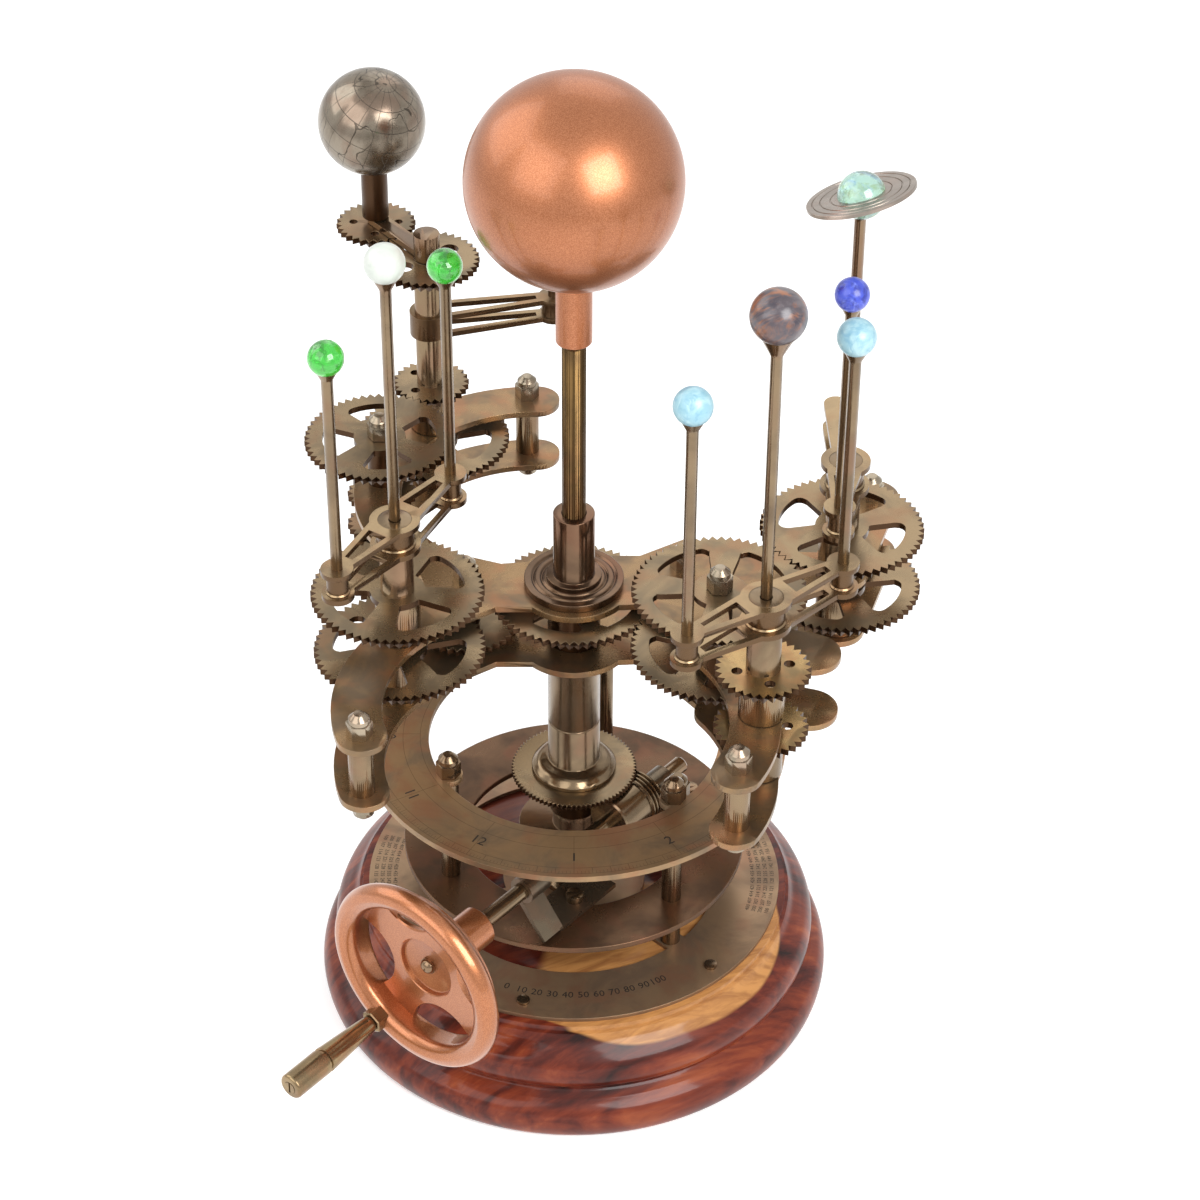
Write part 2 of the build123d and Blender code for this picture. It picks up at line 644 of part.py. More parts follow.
# Screws and bolts of the fixed frame: plate screws, foot bolts and the clamp bolt
clamp_nut = acorn_nut(
    (shaft_plane.from_local_coords((REAR_BEARING_AT, 0, CLAMP_BOLT_SIDE)).X,
     shaft_plane.from_local_coords((REAR_BEARING_AT, 0, CLAMP_BOLT_SIDE)).Y),
    SHAFT_HEIGHT + STRAP * 1.5,
)
with BuildPart() as frame_bolts:
    with BuildSketch(Plane.XY.offset(plate_top)):
        with PolarLocations(SCREW_CIRCLE, PLATE_SCREWS, start_angle=POST_ANGLES[0]):
            Circle(SCREW_HEAD_RADIUS)
    extrude(amount=SCREW_HEAD_HEIGHT)
    for station, side in (
        (FRONT_BEARING_AT + FRONT_FOOT_LENGTH / 2, FRONT_LEAN),
        (REAR_BEARING_AT + REAR_FOOT_LENGTH * 0.7, 0),
    ):
        with BuildSketch(Plane(shaft_plane.from_local_coords((station, STRAP - foot_drop, side)))):
            Circle(FOOT_BOLT_RADIUS)
        extrude(amount=FOOT_BOLT_RADIUS)
    add(clamp_nut)
frame_bolts.part.label = "frame_bolts"
export_step(frame_bolts.part, "parts/frame_bolts.step")

# Crank shaft and its worm
shaft_solid = spun(shaft_plane, [(wheel_front, 0), (SHAFT_REAR, 0), (SHAFT_REAR, SHAFT_RADIUS),
                                 (wheel_front, SHAFT_RADIUS)])
with BuildPart() as crank_shaft:
    add(shaft_solid)
crank_shaft.part.label = "crank_shaft"
export_step(crank_shaft.part, "parts/crank_shaft.step")

thread_pitch = WORM_LENGTH / WORM_TURNS
worm_outline = [(WORM_FROM, SHAFT_RADIUS + SEAT), (WORM_FROM, WORM_RADIUS - WORM_THREAD)]
for turn in range(WORM_TURNS):
    worm_outline.append((WORM_FROM + (turn + 0.5) * thread_pitch, WORM_RADIUS))
    worm_outline.append((WORM_FROM + (turn + 1) * thread_pitch, WORM_RADIUS - WORM_THREAD))
worm_outline.append((WORM_FROM + WORM_LENGTH, SHAFT_RADIUS + SEAT))
worm_solid = spun(shaft_plane, worm_outline)
with BuildPart() as worm:
    add(worm_solid)
worm.part.label = "worm"
export_step(worm.part, "parts/worm.step")

# Handwheel: a long hub, a web with three windows and a central recess, and a round rim set forward
web_front = WHEEL_AT - WHEEL_WEB
rim_at = web_front - WHEEL_DISH + WHEEL_RIM / 2
rim_circle = WHEEL_RADIUS - WHEEL_RIM
wheel_body = spun(shaft_plane, [
    (WHEEL_AT + WHEEL_HUB_LENGTH, SHAFT_RADIUS + SEAT),
    (WHEEL_AT + WHEEL_HUB_LENGTH, WHEEL_HUB_RADIUS),
    (WHEEL_AT, WHEEL_HUB_RADIUS),
    (WHEEL_AT, rim_circle - WHEEL_RIM),
    (rim_at + WHEEL_RIM / 2, rim_circle - WHEEL_RIM / 2),
    (rim_at, rim_circle - WHEEL_RIM / 2),
    (web_front, rim_circle - 1.5 * WHEEL_RIM),
    (web_front, WHEEL_RECESS_RADIUS + WHEEL_WEB),
    (web_front + WHEEL_RECESS_DEPTH, WHEEL_RECESS_RADIUS),
    (web_front + WHEEL_RECESS_DEPTH, SHAFT_RADIUS + SEAT),
])
with BuildPart() as handwheel:
    add(wheel_body)
    with BuildSketch(Plane(shaft_plane.from_local_coords((rim_at, rim_circle, 0)), x_dir=shaft_plane.x_dir,
                           z_dir=shaft_plane.z_dir)):
        Circle(WHEEL_RIM)
    revolve(axis=Axis(shaft_plane.origin, shaft_plane.x_dir))
    with BuildSketch(across(WHEEL_AT + 1)):
        with PolarLocations(WHEEL_WINDOW_CIRCLE, 3, start_angle=HANDLE_ANGLE * -1):
            Circle(WHEEL_WINDOW_RADIUS)
    extrude(amount=WHEEL_WEB + 2, mode=Mode.SUBTRACT)
    with BuildSketch(Plane(handle_plane.from_local_coords((rim_at + 2 * WHEEL_RIM, 0, 0)),
                           x_dir=shaft_plane.z_dir, z_dir=-shaft_plane.x_dir)):
        Circle(STEM_RADIUS + SEAT)
    extrude(amount=4 * WHEEL_RIM, mode=Mode.SUBTRACT)
handwheel.part.label = "handwheel"
export_step(handwheel.part, "parts/handwheel.step")

# Handle: a stem through the rim with its nut and end screw, a dome nut on the shaft, and the turning grip
grip_near = rim_at - WHEEL_RIM - STEM_NUT - END_FLOAT
grip_far = grip_near - GRIP_LENGTH
stem_solid = spun(handle_plane, [
    (rim_at + WHEEL_RIM, 0),
    (rim_at + WHEEL_RIM, STEM_RADIUS),
    (rim_at - WHEEL_RIM, STEM_RADIUS),
    (rim_at - WHEEL_RIM, STEM_RADIUS + STEM_NUT / 2),
    (rim_at - WHEEL_RIM - STEM_NUT, STEM_RADIUS + STEM_NUT / 2),
    (rim_at - WHEEL_RIM - STEM_NUT, STEM_RADIUS),
    (grip_far - END_FLOAT, STEM_RADIUS),
    (grip_far - END_FLOAT, END_SCREW_RADIUS),
    (grip_far - END_FLOAT - STRAP, END_SCREW_RADIUS),
    (grip_far - END_FLOAT - STRAP, 0),
])
dome_solid = spun(shaft_plane, [
    (wheel_front, 0),
    (wheel_front, DOME_RADIUS),
    (wheel_front - DOME_RADIUS / 2, DOME_RADIUS * 0.9),
    (wheel_front - DOME_RADIUS, 0),
])
with BuildPart() as handle_fittings:
    add(stem_solid)
    add(dome_solid)
handle_fittings.part.label = "handle_fittings"
export_step(handle_fittings.part, "parts/handle_fittings.step")

grip_solid = spun(handle_plane, [
    (grip_near, STEM_RADIUS + RUNNING_FIT),
    (grip_near, GRIP_NECK),
    (grip_near - GRIP_LENGTH * 0.2, GRIP_NECK),
    (grip_near - GRIP_LENGTH * 0.55, GRIP_RADIUS * 0.86),
    (grip_near - GRIP_LENGTH * 0.6, GRIP_RADIUS * 0.78),
    (grip_near - GRIP_LENGTH * 0.65, GRIP_RADIUS),
    (grip_far + GRIP_RADIUS / 3, GRIP_RADIUS),
    (grip_far, GRIP_RADIUS * 0.7),
    (grip_far, STEM_RADIUS + RUNNING_FIT),
])
with BuildPart() as handle_grip:
    add(grip_solid)
handle_grip.part.label = "handle_grip"
export_step(handle_grip.part, "parts/handle_grip.step")

# Drive wheel of the carriage with its boss, and the column that carries the plates
fine_wheel = wheel(SUN, drive_bottom, DRIVE_TEETH, 0, spindle_bore, module=DRIVE_MODULE, thickness=DRIVE_THICKNESS)
drive_boss = tube(SUN, PEDESTAL_TOP + END_FLOAT, drive_bottom, DRIVE_BOSS, spindle_bore)
with BuildPart() as drive_wheel:
    add(fine_wheel)
    add(drive_boss)
drive_wheel.part.label = "drive_wheel"
export_step(drive_wheel.part, "parts/drive_wheel.step")

column_solid = turned(upright(SUN), [
    (spindle_bore, drive_top),
    (FLANGE_RADIUS, drive_top),
    (FLANGE_RADIUS, drive_top + FLANGE_HEIGHT * 0.3),
    (FLANGE_RADIUS * 0.85, drive_top + FLANGE_HEIGHT * 0.75),
    (COLUMN_RADIUS, drive_top + FLANGE_HEIGHT),
    (COLUMN_RADIUS, COLUMN_SPLIT),
    (COLUMN_RADIUS - STRAP / 4, COLUMN_SPLIT + STRAP / 4),
    (COLUMN_RADIUS, COLUMN_SPLIT + STRAP / 2),
    (COLUMN_RADIUS, LOWER_PLATE_BOTTOM - COLUMN_CAP_HEIGHT),
    (COLUMN_CAP_RADIUS, LOWER_PLATE_BOTTOM - COLUMN_CAP_HEIGHT),
    (COLUMN_CAP_RADIUS, LOWER_PLATE_BOTTOM),
    (spindle_bore, LOWER_PLATE_BOTTOM),
])
with BuildPart() as column:
    add(column_solid)
column.part.label = "column"
export_step(column.part, "parts/column.step")


# Wing plates: the same outline twice, with running holes for the shafts in the upper one
def wing_plate(bottom, holes):
    """Flat carriage plate from a plan outline of horns and straps, pierced at (centre, radius) pairs."""
    with BuildPart() as plate:
        with BuildSketch(Plane.XY.offset(bottom)):
            Circle(PLATE_HUB)
            Polygon(*LEFT_WING, align=None)
            Polygon(*RIGHT_WING, align=None)
            SlotArc(left_front_horn, 2 * HORN_HALF)
            SlotArc(left_rear_horn, 2 * HORN_HALF)
            SlotArc(right_front_horn, 2 * HORN_HALF)
            strap(RIGHT_IDLER, LOBE_TIP, LOBE_HALF)
            strap(RIGHT_PILLAR, FAR, LOBE_HALF)
            strap(FAR, FAR_TIP, LOBE_HALF)
            for centre, radius in holes:
                with Locations(centre):
                    Circle(radius, mode=Mode.SUBTRACT)
        extrude(amount=PLATE_THICKNESS)
    return plate.part


lower_solid = wing_plate(LOWER_PLATE_BOTTOM, [(SUN, spindle_bore)])
with BuildPart() as lower_plate:
    add(lower_solid)
lower_plate.part.label = "lower_plate"
export_step(lower_plate.part, "parts/lower_plate.step")

upper_holes = [
    (SUN, spindle_bore),
    (LEFT, TUBE_RADIUS + RUNNING_FIT),
    (RIGHT, TUBE_RADIUS + RUNNING_FIT),
    (FAR, TUBE_RADIUS + RUNNING_FIT),
    (CLUSTER, SLEEVE_RADIUS + RUNNING_FIT),
    (RIGHT_IDLER, SLEEVE_RADIUS + RUNNING_FIT),
    (EARTH, EARTH_SPINDLE + RUNNING_FIT),
]
upper_solid = wing_plate(upper_bottom, upper_holes)
with BuildPart() as upper_plate:
    add(upper_solid)
upper_plate.part.label = "upper_plate"
export_step(upper_plate.part, "parts/upper_plate.step")

# Pillars between the plates, and the acorn nuts above and below them
PILLARS = (LEFT_TIP, REAR_TIP, RIGHT_TIP, RIGHT_PILLAR, FAR_TIP)
with BuildPart() as plate_pillars:
    with BuildSketch(Plane.XY.offset(lower_top)):
        with Locations(*PILLARS):
            Circle(PILLAR_RADIUS)
    extrude(amount=PLATE_GAP)
plate_pillars.part.label = "plate_pillars"
export_step(plate_pillars.part, "parts/plate_pillars.step")

nut_solids = [acorn_nut(centre, upper_top) for centre in (*PILLARS, TRANSFER)]
nut_solids += [acorn_nut(centre, LOWER_PLATE_BOTTOM, -1) for centre in PILLARS]
nut_solids += [acorn_nut(centre, upper_gear_level + GEAR_THICKNESS + END_FLOAT) for centre in (CLUSTER, RIGHT_IDLER)]
with BuildPart() as pillar_nuts:
    add(nut_solids)
pillar_nuts.part.label = "pillar_nuts"
export_step(pillar_nuts.part, "parts/pillar_nuts.step")

# Fixed studs on which the idler wheels turn
with BuildPart() as idler_studs:
    with BuildSketch(Plane.XY.offset(lower_top)):
        with Locations(TRANSFER, REAR_IDLER):
            Circle(STUD_RADIUS)
    extrude(amount=PLATE_GAP)
    with BuildSketch(Plane.XY.offset(lower_top)):
        with Locations(CLUSTER, RIGHT_IDLER):
            Circle(STUD_RADIUS)
    extrude(amount=upper_gear_level + GEAR_THICKNESS + END_FLOAT - lower_top)
idler_studs.part.label = "idler_studs"
export_step(idler_studs.part, "parts/idler_studs.step")

# Grooved disc and sleeve that finish the carriage round the spindle
disc_rings = [(spindle_bore, upper_top), (GROOVED_RADIUS, upper_top), (GROOVED_RADIUS, grooved_top)]
for groove in GROOVES:
    disc_rings.append((groove + STRAP / 2, grooved_top))
    disc_rings.append((groove, grooved_top - STRAP / 2))
    disc_rings.append((groove - STRAP / 2, grooved_top))
disc_rings.append((spindle_bore, grooved_top))
disc_solid = turned(upright(SUN), disc_rings)
with BuildPart() as grooved_disc:
    add(disc_solid)
grooved_disc.part.label = "grooved_disc"
export_step(grooved_disc.part, "parts/grooved_disc.step")

sleeve_solid = turned(upright(SUN), [
    (spindle_bore, grooved_top),
    (SLEEVE_FLANGE, grooved_top),
    (SLEEVE_FLANGE, grooved_top + STRAP),
    (TOP_SLEEVE_RADIUS, grooved_top + STRAP),
    (TOP_SLEEVE_RADIUS, TOP_SLEEVE_TOP),
    (spindle_bore, TOP_SLEEVE_TOP),
])
with BuildPart() as top_sleeve:
    add(sleeve_solid)
top_sleeve.part.label = "top_sleeve"
export_step(top_sleeve.part, "parts/top_sleeve.step")

# Fixed centre rods of the three arms with their balls
white_rod = cupped_rod(LEFT, lower_top, ROD_RADIUS, WHITE_HEIGHT, WHITE_RADIUS)
brown_rod = cupped_rod(RIGHT, lower_top, ROD_RADIUS, BROWN_HEIGHT, BROWN_RADIUS)
ringed_rod = cupped_rod(FAR, lower_top, ROD_RADIUS, RINGED_HEIGHT, RINGED_RADIUS)
with BuildPart() as centre_rods:
    add(white_rod)
    add(brown_rod)
    add(ringed_rod)
centre_rods.part.label = "centre_rods"
export_step(centre_rods.part, "parts/centre_rods.step")

with BuildPart() as white_ball:
    with Locations((*LEFT, WHITE_HEIGHT)):
        Sphere(WHITE_RADIUS)
white_ball.part.label = "white_ball"
export_step(white_ball.part, "parts/white_ball.step")

with BuildPart() as brown_ball:
    with Locations((*RIGHT, BROWN_HEIGHT)):
        Sphere(BROWN_RADIUS)
brown_ball.part.label = "brown_ball"
export_step(brown_ball.part, "parts/brown_ball.step")

with BuildPart() as ringed_ball:
    with Locations((*FAR, RINGED_HEIGHT)):
        Sphere(RINGED_RADIUS)
ringed_ball.part.label = "ringed_ball"
export_step(ringed_ball.part, "parts/ringed_ball.step")

ring_tilt = radians(PLANET_RING_TILT)
with BuildPart() as planet_ring:
    with BuildSketch(Plane((*FAR, RINGED_HEIGHT - PLANET_RING_THICKNESS / 2), z_dir=(-sin(ring_tilt), 0, cos(ring_tilt)))):
        Circle(PLANET_RING_OUTER)
        Circle(RINGED_RADIUS + SEAT, mode=Mode.SUBTRACT)
    extrude(amount=PLANET_RING_THICKNESS)
    with Locations((*FAR, RINGED_HEIGHT)):
        Sphere(RINGED_RADIUS + SEAT, mode=Mode.SUBTRACT)
planet_ring.part.label = "planet_ring"
export_step(planet_ring.part, "parts/planet_ring.step")

# Idler wheels of the left train
transfer_pinion = wheel(TRANSFER, GEAR_LEVEL, PINION_TEETH, pinion_phase, STUD_RADIUS + RUNNING_FIT)
transfer_wheel = wheel(TRANSFER, LOW_LEVEL, TRANSFER_TEETH, transfer_phase, STUD_RADIUS + RUNNING_FIT)
transfer_sleeve = tube(TRANSFER, lower_top + END_FLOAT, GEAR_LEVEL, SLEEVE_RADIUS, STUD_RADIUS + RUNNING_FIT)
with BuildPart() as transfer_gear:
    add(transfer_pinion)
    add(transfer_wheel)
    add(transfer_sleeve)
transfer_gear.part.label = "transfer_gear"
export_step(transfer_gear.part, "parts/transfer_gear.step")

idler_wheel = wheel(REAR_IDLER, LOW_LEVEL, REAR_IDLER_TEETH, rear_idler_phase, STUD_RADIUS + RUNNING_FIT)
idler_sleeve = tube(REAR_IDLER, lower_top + END_FLOAT, upper_bottom - END_FLOAT, SLEEVE_RADIUS,
                    STUD_RADIUS + RUNNING_FIT)
with BuildPart() as rear_idler:
    add(idler_wheel)
    add(idler_sleeve)
rear_idler.part.label = "rear_idler"
export_step(rear_idler.part, "parts/rear_idler.step")

stud_bore = STUD_RADIUS + RUNNING_FIT
cluster_low = wheel(CLUSTER, LOW_LEVEL, CLUSTER_LOW_TEETH, low_phase, stud_bore)
cluster_middle = wheel(CLUSTER, GEAR_LEVEL, CLUSTER_MID_TEETH, cluster_phase, stud_bore)
cluster_top = wheel(CLUSTER, upper_gear_level, CLUSTER_TOP_TEETH, cluster_phase, stud_bore, windows=5)
cluster_sleeve = tube(CLUSTER, lower_top + END_FLOAT, upper_gear_level, SLEEVE_RADIUS, stud_bore)
with BuildPart() as rear_cluster:
    add(cluster_low)
    add(cluster_middle)
    add(cluster_top)
    add(cluster_sleeve)
rear_cluster.part.label = "rear_cluster"
export_step(rear_cluster.part, "parts/rear_cluster.step")

# Right idler: two equal wheels on one sleeve
right_low = wheel(RIGHT_IDLER, GEAR_LEVEL, RIGHT_TEETH, idler_phase, stud_bore, windows=5)
right_high = wheel(RIGHT_IDLER, upper_gear_level, RIGHT_TEETH, idler_phase, stud_bore, windows=5)
right_sleeve = tube(RIGHT_IDLER, lower_top + END_FLOAT, upper_gear_level, SLEEVE_RADIUS, stud_bore)
with BuildPart() as right_idler:
    add(right_low)
    add(right_high)
    add(right_sleeve)
right_idler.part.label = "right_idler"
export_step(right_idler.part, "parts/right_idler.step")


def collared_tube(centre, bottom, top, radius, collar, bore):
    """Turning tube whose collars stand under the wheels at the two gear levels."""
    return turned(upright(centre), [
        (bore, bottom),
        (collar, bottom),
        (collar, GEAR_LEVEL),
        (radius, GEAR_LEVEL),
        (radius, upper_top + END_FLOAT),
        (collar, upper_top + END_FLOAT),
        (collar, upper_gear_level),
        (radius, upper_gear_level),
        (radius, top),
        (bore, top),
    ])


def planet_wheels(centre, teeth, phase, windows=0, holes=0):
    """Pair of equal wheels at the two gear levels, bored for a planet tube."""
    lower = wheel(centre, GEAR_LEVEL, teeth, phase, TUBE_RADIUS + SEAT, windows, holes)
    upper = wheel(centre, upper_gear_level, teeth, phase, TUBE_RADIUS + SEAT, windows, holes)
    return [lower, upper]


def double_arm(centre, heading):
    """Two-armed planet bar: upper and lower pierced plates joined by a hub and two end bosses."""
    upper = flat_bar(centre, heading, ARM_TOP, (ARM_REACH, -ARM_REACH), ARM_HUB, TUBE_RADIUS + SEAT)
    lower = flat_bar(centre, heading, arm_lower_top, (ARM_REACH, -ARM_REACH), ARM_HUB, TUBE_RADIUS + SEAT)
    hub = tube(centre, arm_lower_top, ARM_TOP - ARM_THICKNESS, ARM_HUB, TUBE_RADIUS + SEAT)
    ends = [
        tube(polar(centre, reach, heading), arm_lower_top, ARM_TOP - ARM_THICKNESS, ARM_BOSS * 0.8, ROD_RADIUS + SEAT)
        for reach in (ARM_REACH, -ARM_REACH)
    ]
    return [upper, lower, hub, *ends]


planet_bore = ROD_RADIUS + RUNNING_FIT
tube_bottom = lower_top + END_FLOAT

# Left group: a pair of wheels, tube, two-armed bar, rods and green balls
left_wheels = planet_wheels(LEFT, LEFT_TEETH, left_phase, windows=5)
with BuildPart() as left_gears:
    add(left_wheels)
left_gears.part.label = "left_gears"
export_step(left_gears.part, "parts/left_gears.step")

left_stem = collared_tube(LEFT, tube_bottom, ARM_TOP, TUBE_RADIUS, TUBE_COLLAR, planet_bore)
with BuildPart() as left_tube:
    add(left_stem)
left_tube.part.label = "left_tube"
export_step(left_tube.part, "parts/left_tube.step")

left_bar = double_arm(LEFT, LEFT_ARM_ANGLE)
with BuildPart() as left_arm:
    add(left_bar)
left_arm.part.label = "left_arm"
export_step(left_arm.part, "parts/left_arm.step")

left_ends = [polar(LEFT, reach, LEFT_ARM_ANGLE) for reach in (ARM_REACH, -ARM_REACH)]
left_stems = [cupped_rod(end, arm_bottom, ROD_RADIUS, GREEN_HEIGHT, GREEN_RADIUS) for end in left_ends]
with BuildPart() as left_rods:
    add(left_stems)
left_rods.part.label = "left_rods"
export_step(left_rods.part, "parts/left_rods.step")

with BuildPart() as green_balls:
    with Locations(*[(*end, GREEN_HEIGHT) for end in left_ends]):
        Sphere(GREEN_RADIUS)
green_balls.part.label = "green_balls"
export_step(green_balls.part, "parts/green_balls.step")

# Right group: the same with small wheels and sky-blue balls
right_wheels = planet_wheels(RIGHT, RIGHT_PINION_TEETH, right_phase, holes=4)
with BuildPart() as right_pinions:
    add(right_wheels)
right_pinions.part.label = "right_pinions"
export_step(right_pinions.part, "parts/right_pinions.step")

right_stem = collared_tube(RIGHT, tube_bottom, ARM_TOP, TUBE_RADIUS, TUBE_COLLAR, planet_bore)
with BuildPart() as right_tube:
    add(right_stem)
right_tube.part.label = "right_tube"
export_step(right_tube.part, "parts/right_tube.step")

right_bar = double_arm(RIGHT, RIGHT_ARM_ANGLE)
with BuildPart() as right_arm:
    add(right_bar)
right_arm.part.label = "right_arm"
export_step(right_arm.part, "parts/right_arm.step")

right_ends = [polar(RIGHT, reach, RIGHT_ARM_ANGLE) for reach in (ARM_REACH, -ARM_REACH)]
right_stems = [cupped_rod(end, arm_bottom, ROD_RADIUS, SKY_HEIGHT, SKY_RADIUS) for end in right_ends]
with BuildPart() as right_rods:
    add(right_stems)
right_rods.part.label = "right_rods"
export_step(right_rods.part, "parts/right_rods.step")

with BuildPart() as sky_balls:
    with Locations(*[(*end, SKY_HEIGHT) for end in right_ends]):
        Sphere(SKY_RADIUS)
sky_balls.part.label = "sky_balls"
export_step(sky_balls.part, "parts/sky_balls.step")

# Far group: a pair of wheels, tube, single arm with a tail, rod and dark blue ball
far_wheels = planet_wheels(FAR, FAR_TEETH, far_phase, windows=5)
with BuildPart() as far_gears:
    add(far_wheels)
far_gears.part.label = "far_gears"
export_step(far_gears.part, "parts/far_gears.step")

far_stem = collared_tube(FAR, tube_bottom, FAR_ARM_TOP, TUBE_RADIUS, TUBE_COLLAR, planet_bore)
with BuildPart() as far_tube:
    add(far_stem)
far_tube.part.label = "far_tube"
export_step(far_tube.part, "parts/far_tube.step")

far_end = polar(FAR, FAR_ARM_REACH, FAR_ARM_ANGLE)
far_upper = flat_bar(FAR, FAR_ARM_ANGLE, FAR_ARM_TOP, (FAR_ARM_REACH,), ARM_HUB, TUBE_RADIUS + SEAT)
far_lower = flat_bar(FAR, FAR_ARM_ANGLE, FAR_ARM_TOP - ARM_GAP, (FAR_ARM_REACH,), ARM_HUB, TUBE_RADIUS + SEAT)
far_hub = tube(FAR, FAR_ARM_TOP - ARM_GAP, FAR_ARM_TOP - ARM_THICKNESS, ARM_HUB, TUBE_RADIUS + SEAT)
far_boss = tube(far_end, FAR_ARM_TOP - ARM_GAP, FAR_ARM_TOP - ARM_THICKNESS, ARM_BOSS * 0.8, ROD_RADIUS + SEAT)
with BuildPart() as far_arm:
    add(far_upper)
    add(far_lower)
    add(far_hub)
    add(far_boss)
    with BuildSketch(Plane.XY.offset(FAR_ARM_TOP - ARM_GAP - ARM_THICKNESS)):
        strap(polar(FAR, ARM_HUB, FAR_TAIL_ANGLE), polar(FAR, FAR_ARM_TAIL, FAR_TAIL_ANGLE), ARM_BOSS * 0.8)
        with Locations(FAR):
            Circle(TUBE_RADIUS + SEAT, mode=Mode.SUBTRACT)
    extrude(amount=ARM_GAP + ARM_THICKNESS)
far_arm.part.label = "far_arm"
export_step(far_arm.part, "parts/far_arm.step")

far_stick = cupped_rod(far_end, FAR_ARM_TOP - ARM_GAP - ARM_THICKNESS, ROD_RADIUS, BLUE_HEIGHT, BLUE_RADIUS)
with BuildPart() as far_rod:
    add(far_stick)
far_rod.part.label = "far_rod"
export_step(far_rod.part, "parts/far_rod.step")

with BuildPart() as blue_ball:
    with Locations((*far_end, BLUE_HEIGHT)):
        Sphere(BLUE_RADIUS)
blue_ball.part.label = "blue_ball"
export_step(blue_ball.part, "parts/blue_ball.step")

# Globe train: an inner spindle with its wheel and arm, and an outer tube with two pinions and a long arm
inner_bore = EARTH_SPINDLE + RUNNING_FIT
earth_disc = wheel(EARTH, GEAR_LEVEL, EARTH_WHEEL_TEETH, wheel_phase, EARTH_SPINDLE + SEAT, windows=5)
with BuildPart() as earth_wheel:
    add(earth_disc)
earth_wheel.part.label = "earth_wheel"
export_step(earth_wheel.part, "parts/earth_wheel.step")

globe_arm_bottom = EARTH_SUN_LEVEL + GEAR_THICKNESS + END_FLOAT
globe_arm_top = globe_arm_bottom + GEAR_THICKNESS
spindle_shape = turned(upright(EARTH), [
    (0, tube_bottom),
    (TUBE_COLLAR, tube_bottom),
    (TUBE_COLLAR, GEAR_LEVEL),
    (EARTH_SPINDLE, GEAR_LEVEL),
    (EARTH_SPINDLE, globe_arm_bottom),
    (EARTH_CAP_RADIUS, globe_arm_bottom),
    (EARTH_CAP_RADIUS, globe_arm_bottom + EARTH_CAP_HEIGHT),
    (0, globe_arm_bottom + EARTH_CAP_HEIGHT),
])
with BuildPart() as earth_spindle:
    add(spindle_shape)
    with BuildSketch(Plane.XY.offset(globe_arm_bottom)):
        strap(EARTH, GLOBE, GLOBE_ARM_HALF)
    extrude(amount=GEAR_THICKNESS)
    with BuildSketch(Plane.XY.offset(globe_arm_bottom)):
        with Locations(GLOBE):
            Circle(STUD_RADIUS + RUNNING_FIT)
    extrude(amount=GEAR_THICKNESS, mode=Mode.SUBTRACT)
earth_spindle.part.label = "earth_spindle"
export_step(earth_spindle.part, "parts/earth_spindle.step")

earth_pinion = wheel(EARTH, upper_gear_level, EARTH_PINION_TEETH, earth_phase, EARTH_TUBE + SEAT, holes=4)
earth_sun = wheel(EARTH, EARTH_SUN_LEVEL, EARTH_SUN_TEETH, earth_phase, EARTH_TUBE + SEAT, holes=5)
with BuildPart() as earth_gears:
    add(earth_pinion)
    add(earth_sun)
earth_gears.part.label = "earth_gears"
export_step(earth_gears.part, "parts/earth_gears.step")

earth_stem = turned(upright(EARTH), [
    (inner_bore, upper_top + END_FLOAT),
    (TUBE_COLLAR, upper_top + END_FLOAT),
    (TUBE_COLLAR, upper_gear_level),
    (EARTH_TUBE, upper_gear_level),
    (EARTH_TUBE, EARTH_SUN_LEVEL + GEAR_THICKNESS),
    (inner_bore, EARTH_SUN_LEVEL + GEAR_THICKNESS),
])
with BuildPart() as earth_tube:
    add(earth_stem)
earth_tube.part.label = "earth_tube"
export_step(earth_tube.part, "parts/earth_tube.step")

long_tip = polar(EARTH, LONG_ARM_REACH, LONG_ARM_ANGLE)
long_upper = flat_bar(EARTH, LONG_ARM_ANGLE, LONG_ARM_TOP, (LONG_ARM_REACH,), LONG_ARM_HUB, EARTH_TUBE + SEAT)
long_lower = flat_bar(EARTH, LONG_ARM_ANGLE, LONG_ARM_BOTTOM + ARM_THICKNESS, (LONG_ARM_REACH,), LONG_ARM_HUB,
                      EARTH_TUBE + SEAT)
long_hub = tube(EARTH, LONG_ARM_BOTTOM, LONG_ARM_TOP, LONG_ARM_HUB, EARTH_TUBE + SEAT)
long_boss = tube(long_tip, LONG_ARM_BOTTOM, LONG_ARM_TOP, ARM_BOSS * 0.8, ROD_RADIUS + SEAT)
long_rod = cupped_rod(long_tip, LONG_ARM_BOTTOM, ROD_RADIUS, MARKER_HEIGHT, MARKER_RADIUS)
with BuildPart() as long_arm:
    add(long_upper)
    add(long_lower)
    add(long_hub)
    add(long_boss)
    with BuildSketch(Plane.XY.offset(LONG_ARM_BOTTOM)):
        with Locations(long_tip):
            Circle(ROD_RADIUS + SEAT)
    extrude(amount=LONG_ARM_TOP - LONG_ARM_BOTTOM)
    add(long_rod)
long_arm.part.label = "long_arm"
export_step(long_arm.part, "parts/long_arm.step")

with BuildPart() as small_ball:
    with Locations((*long_tip, MARKER_HEIGHT)):
        Sphere(MARKER_RADIUS)
small_ball.part.label = "small_ball"
export_step(small_ball.part, "parts/small_ball.step")

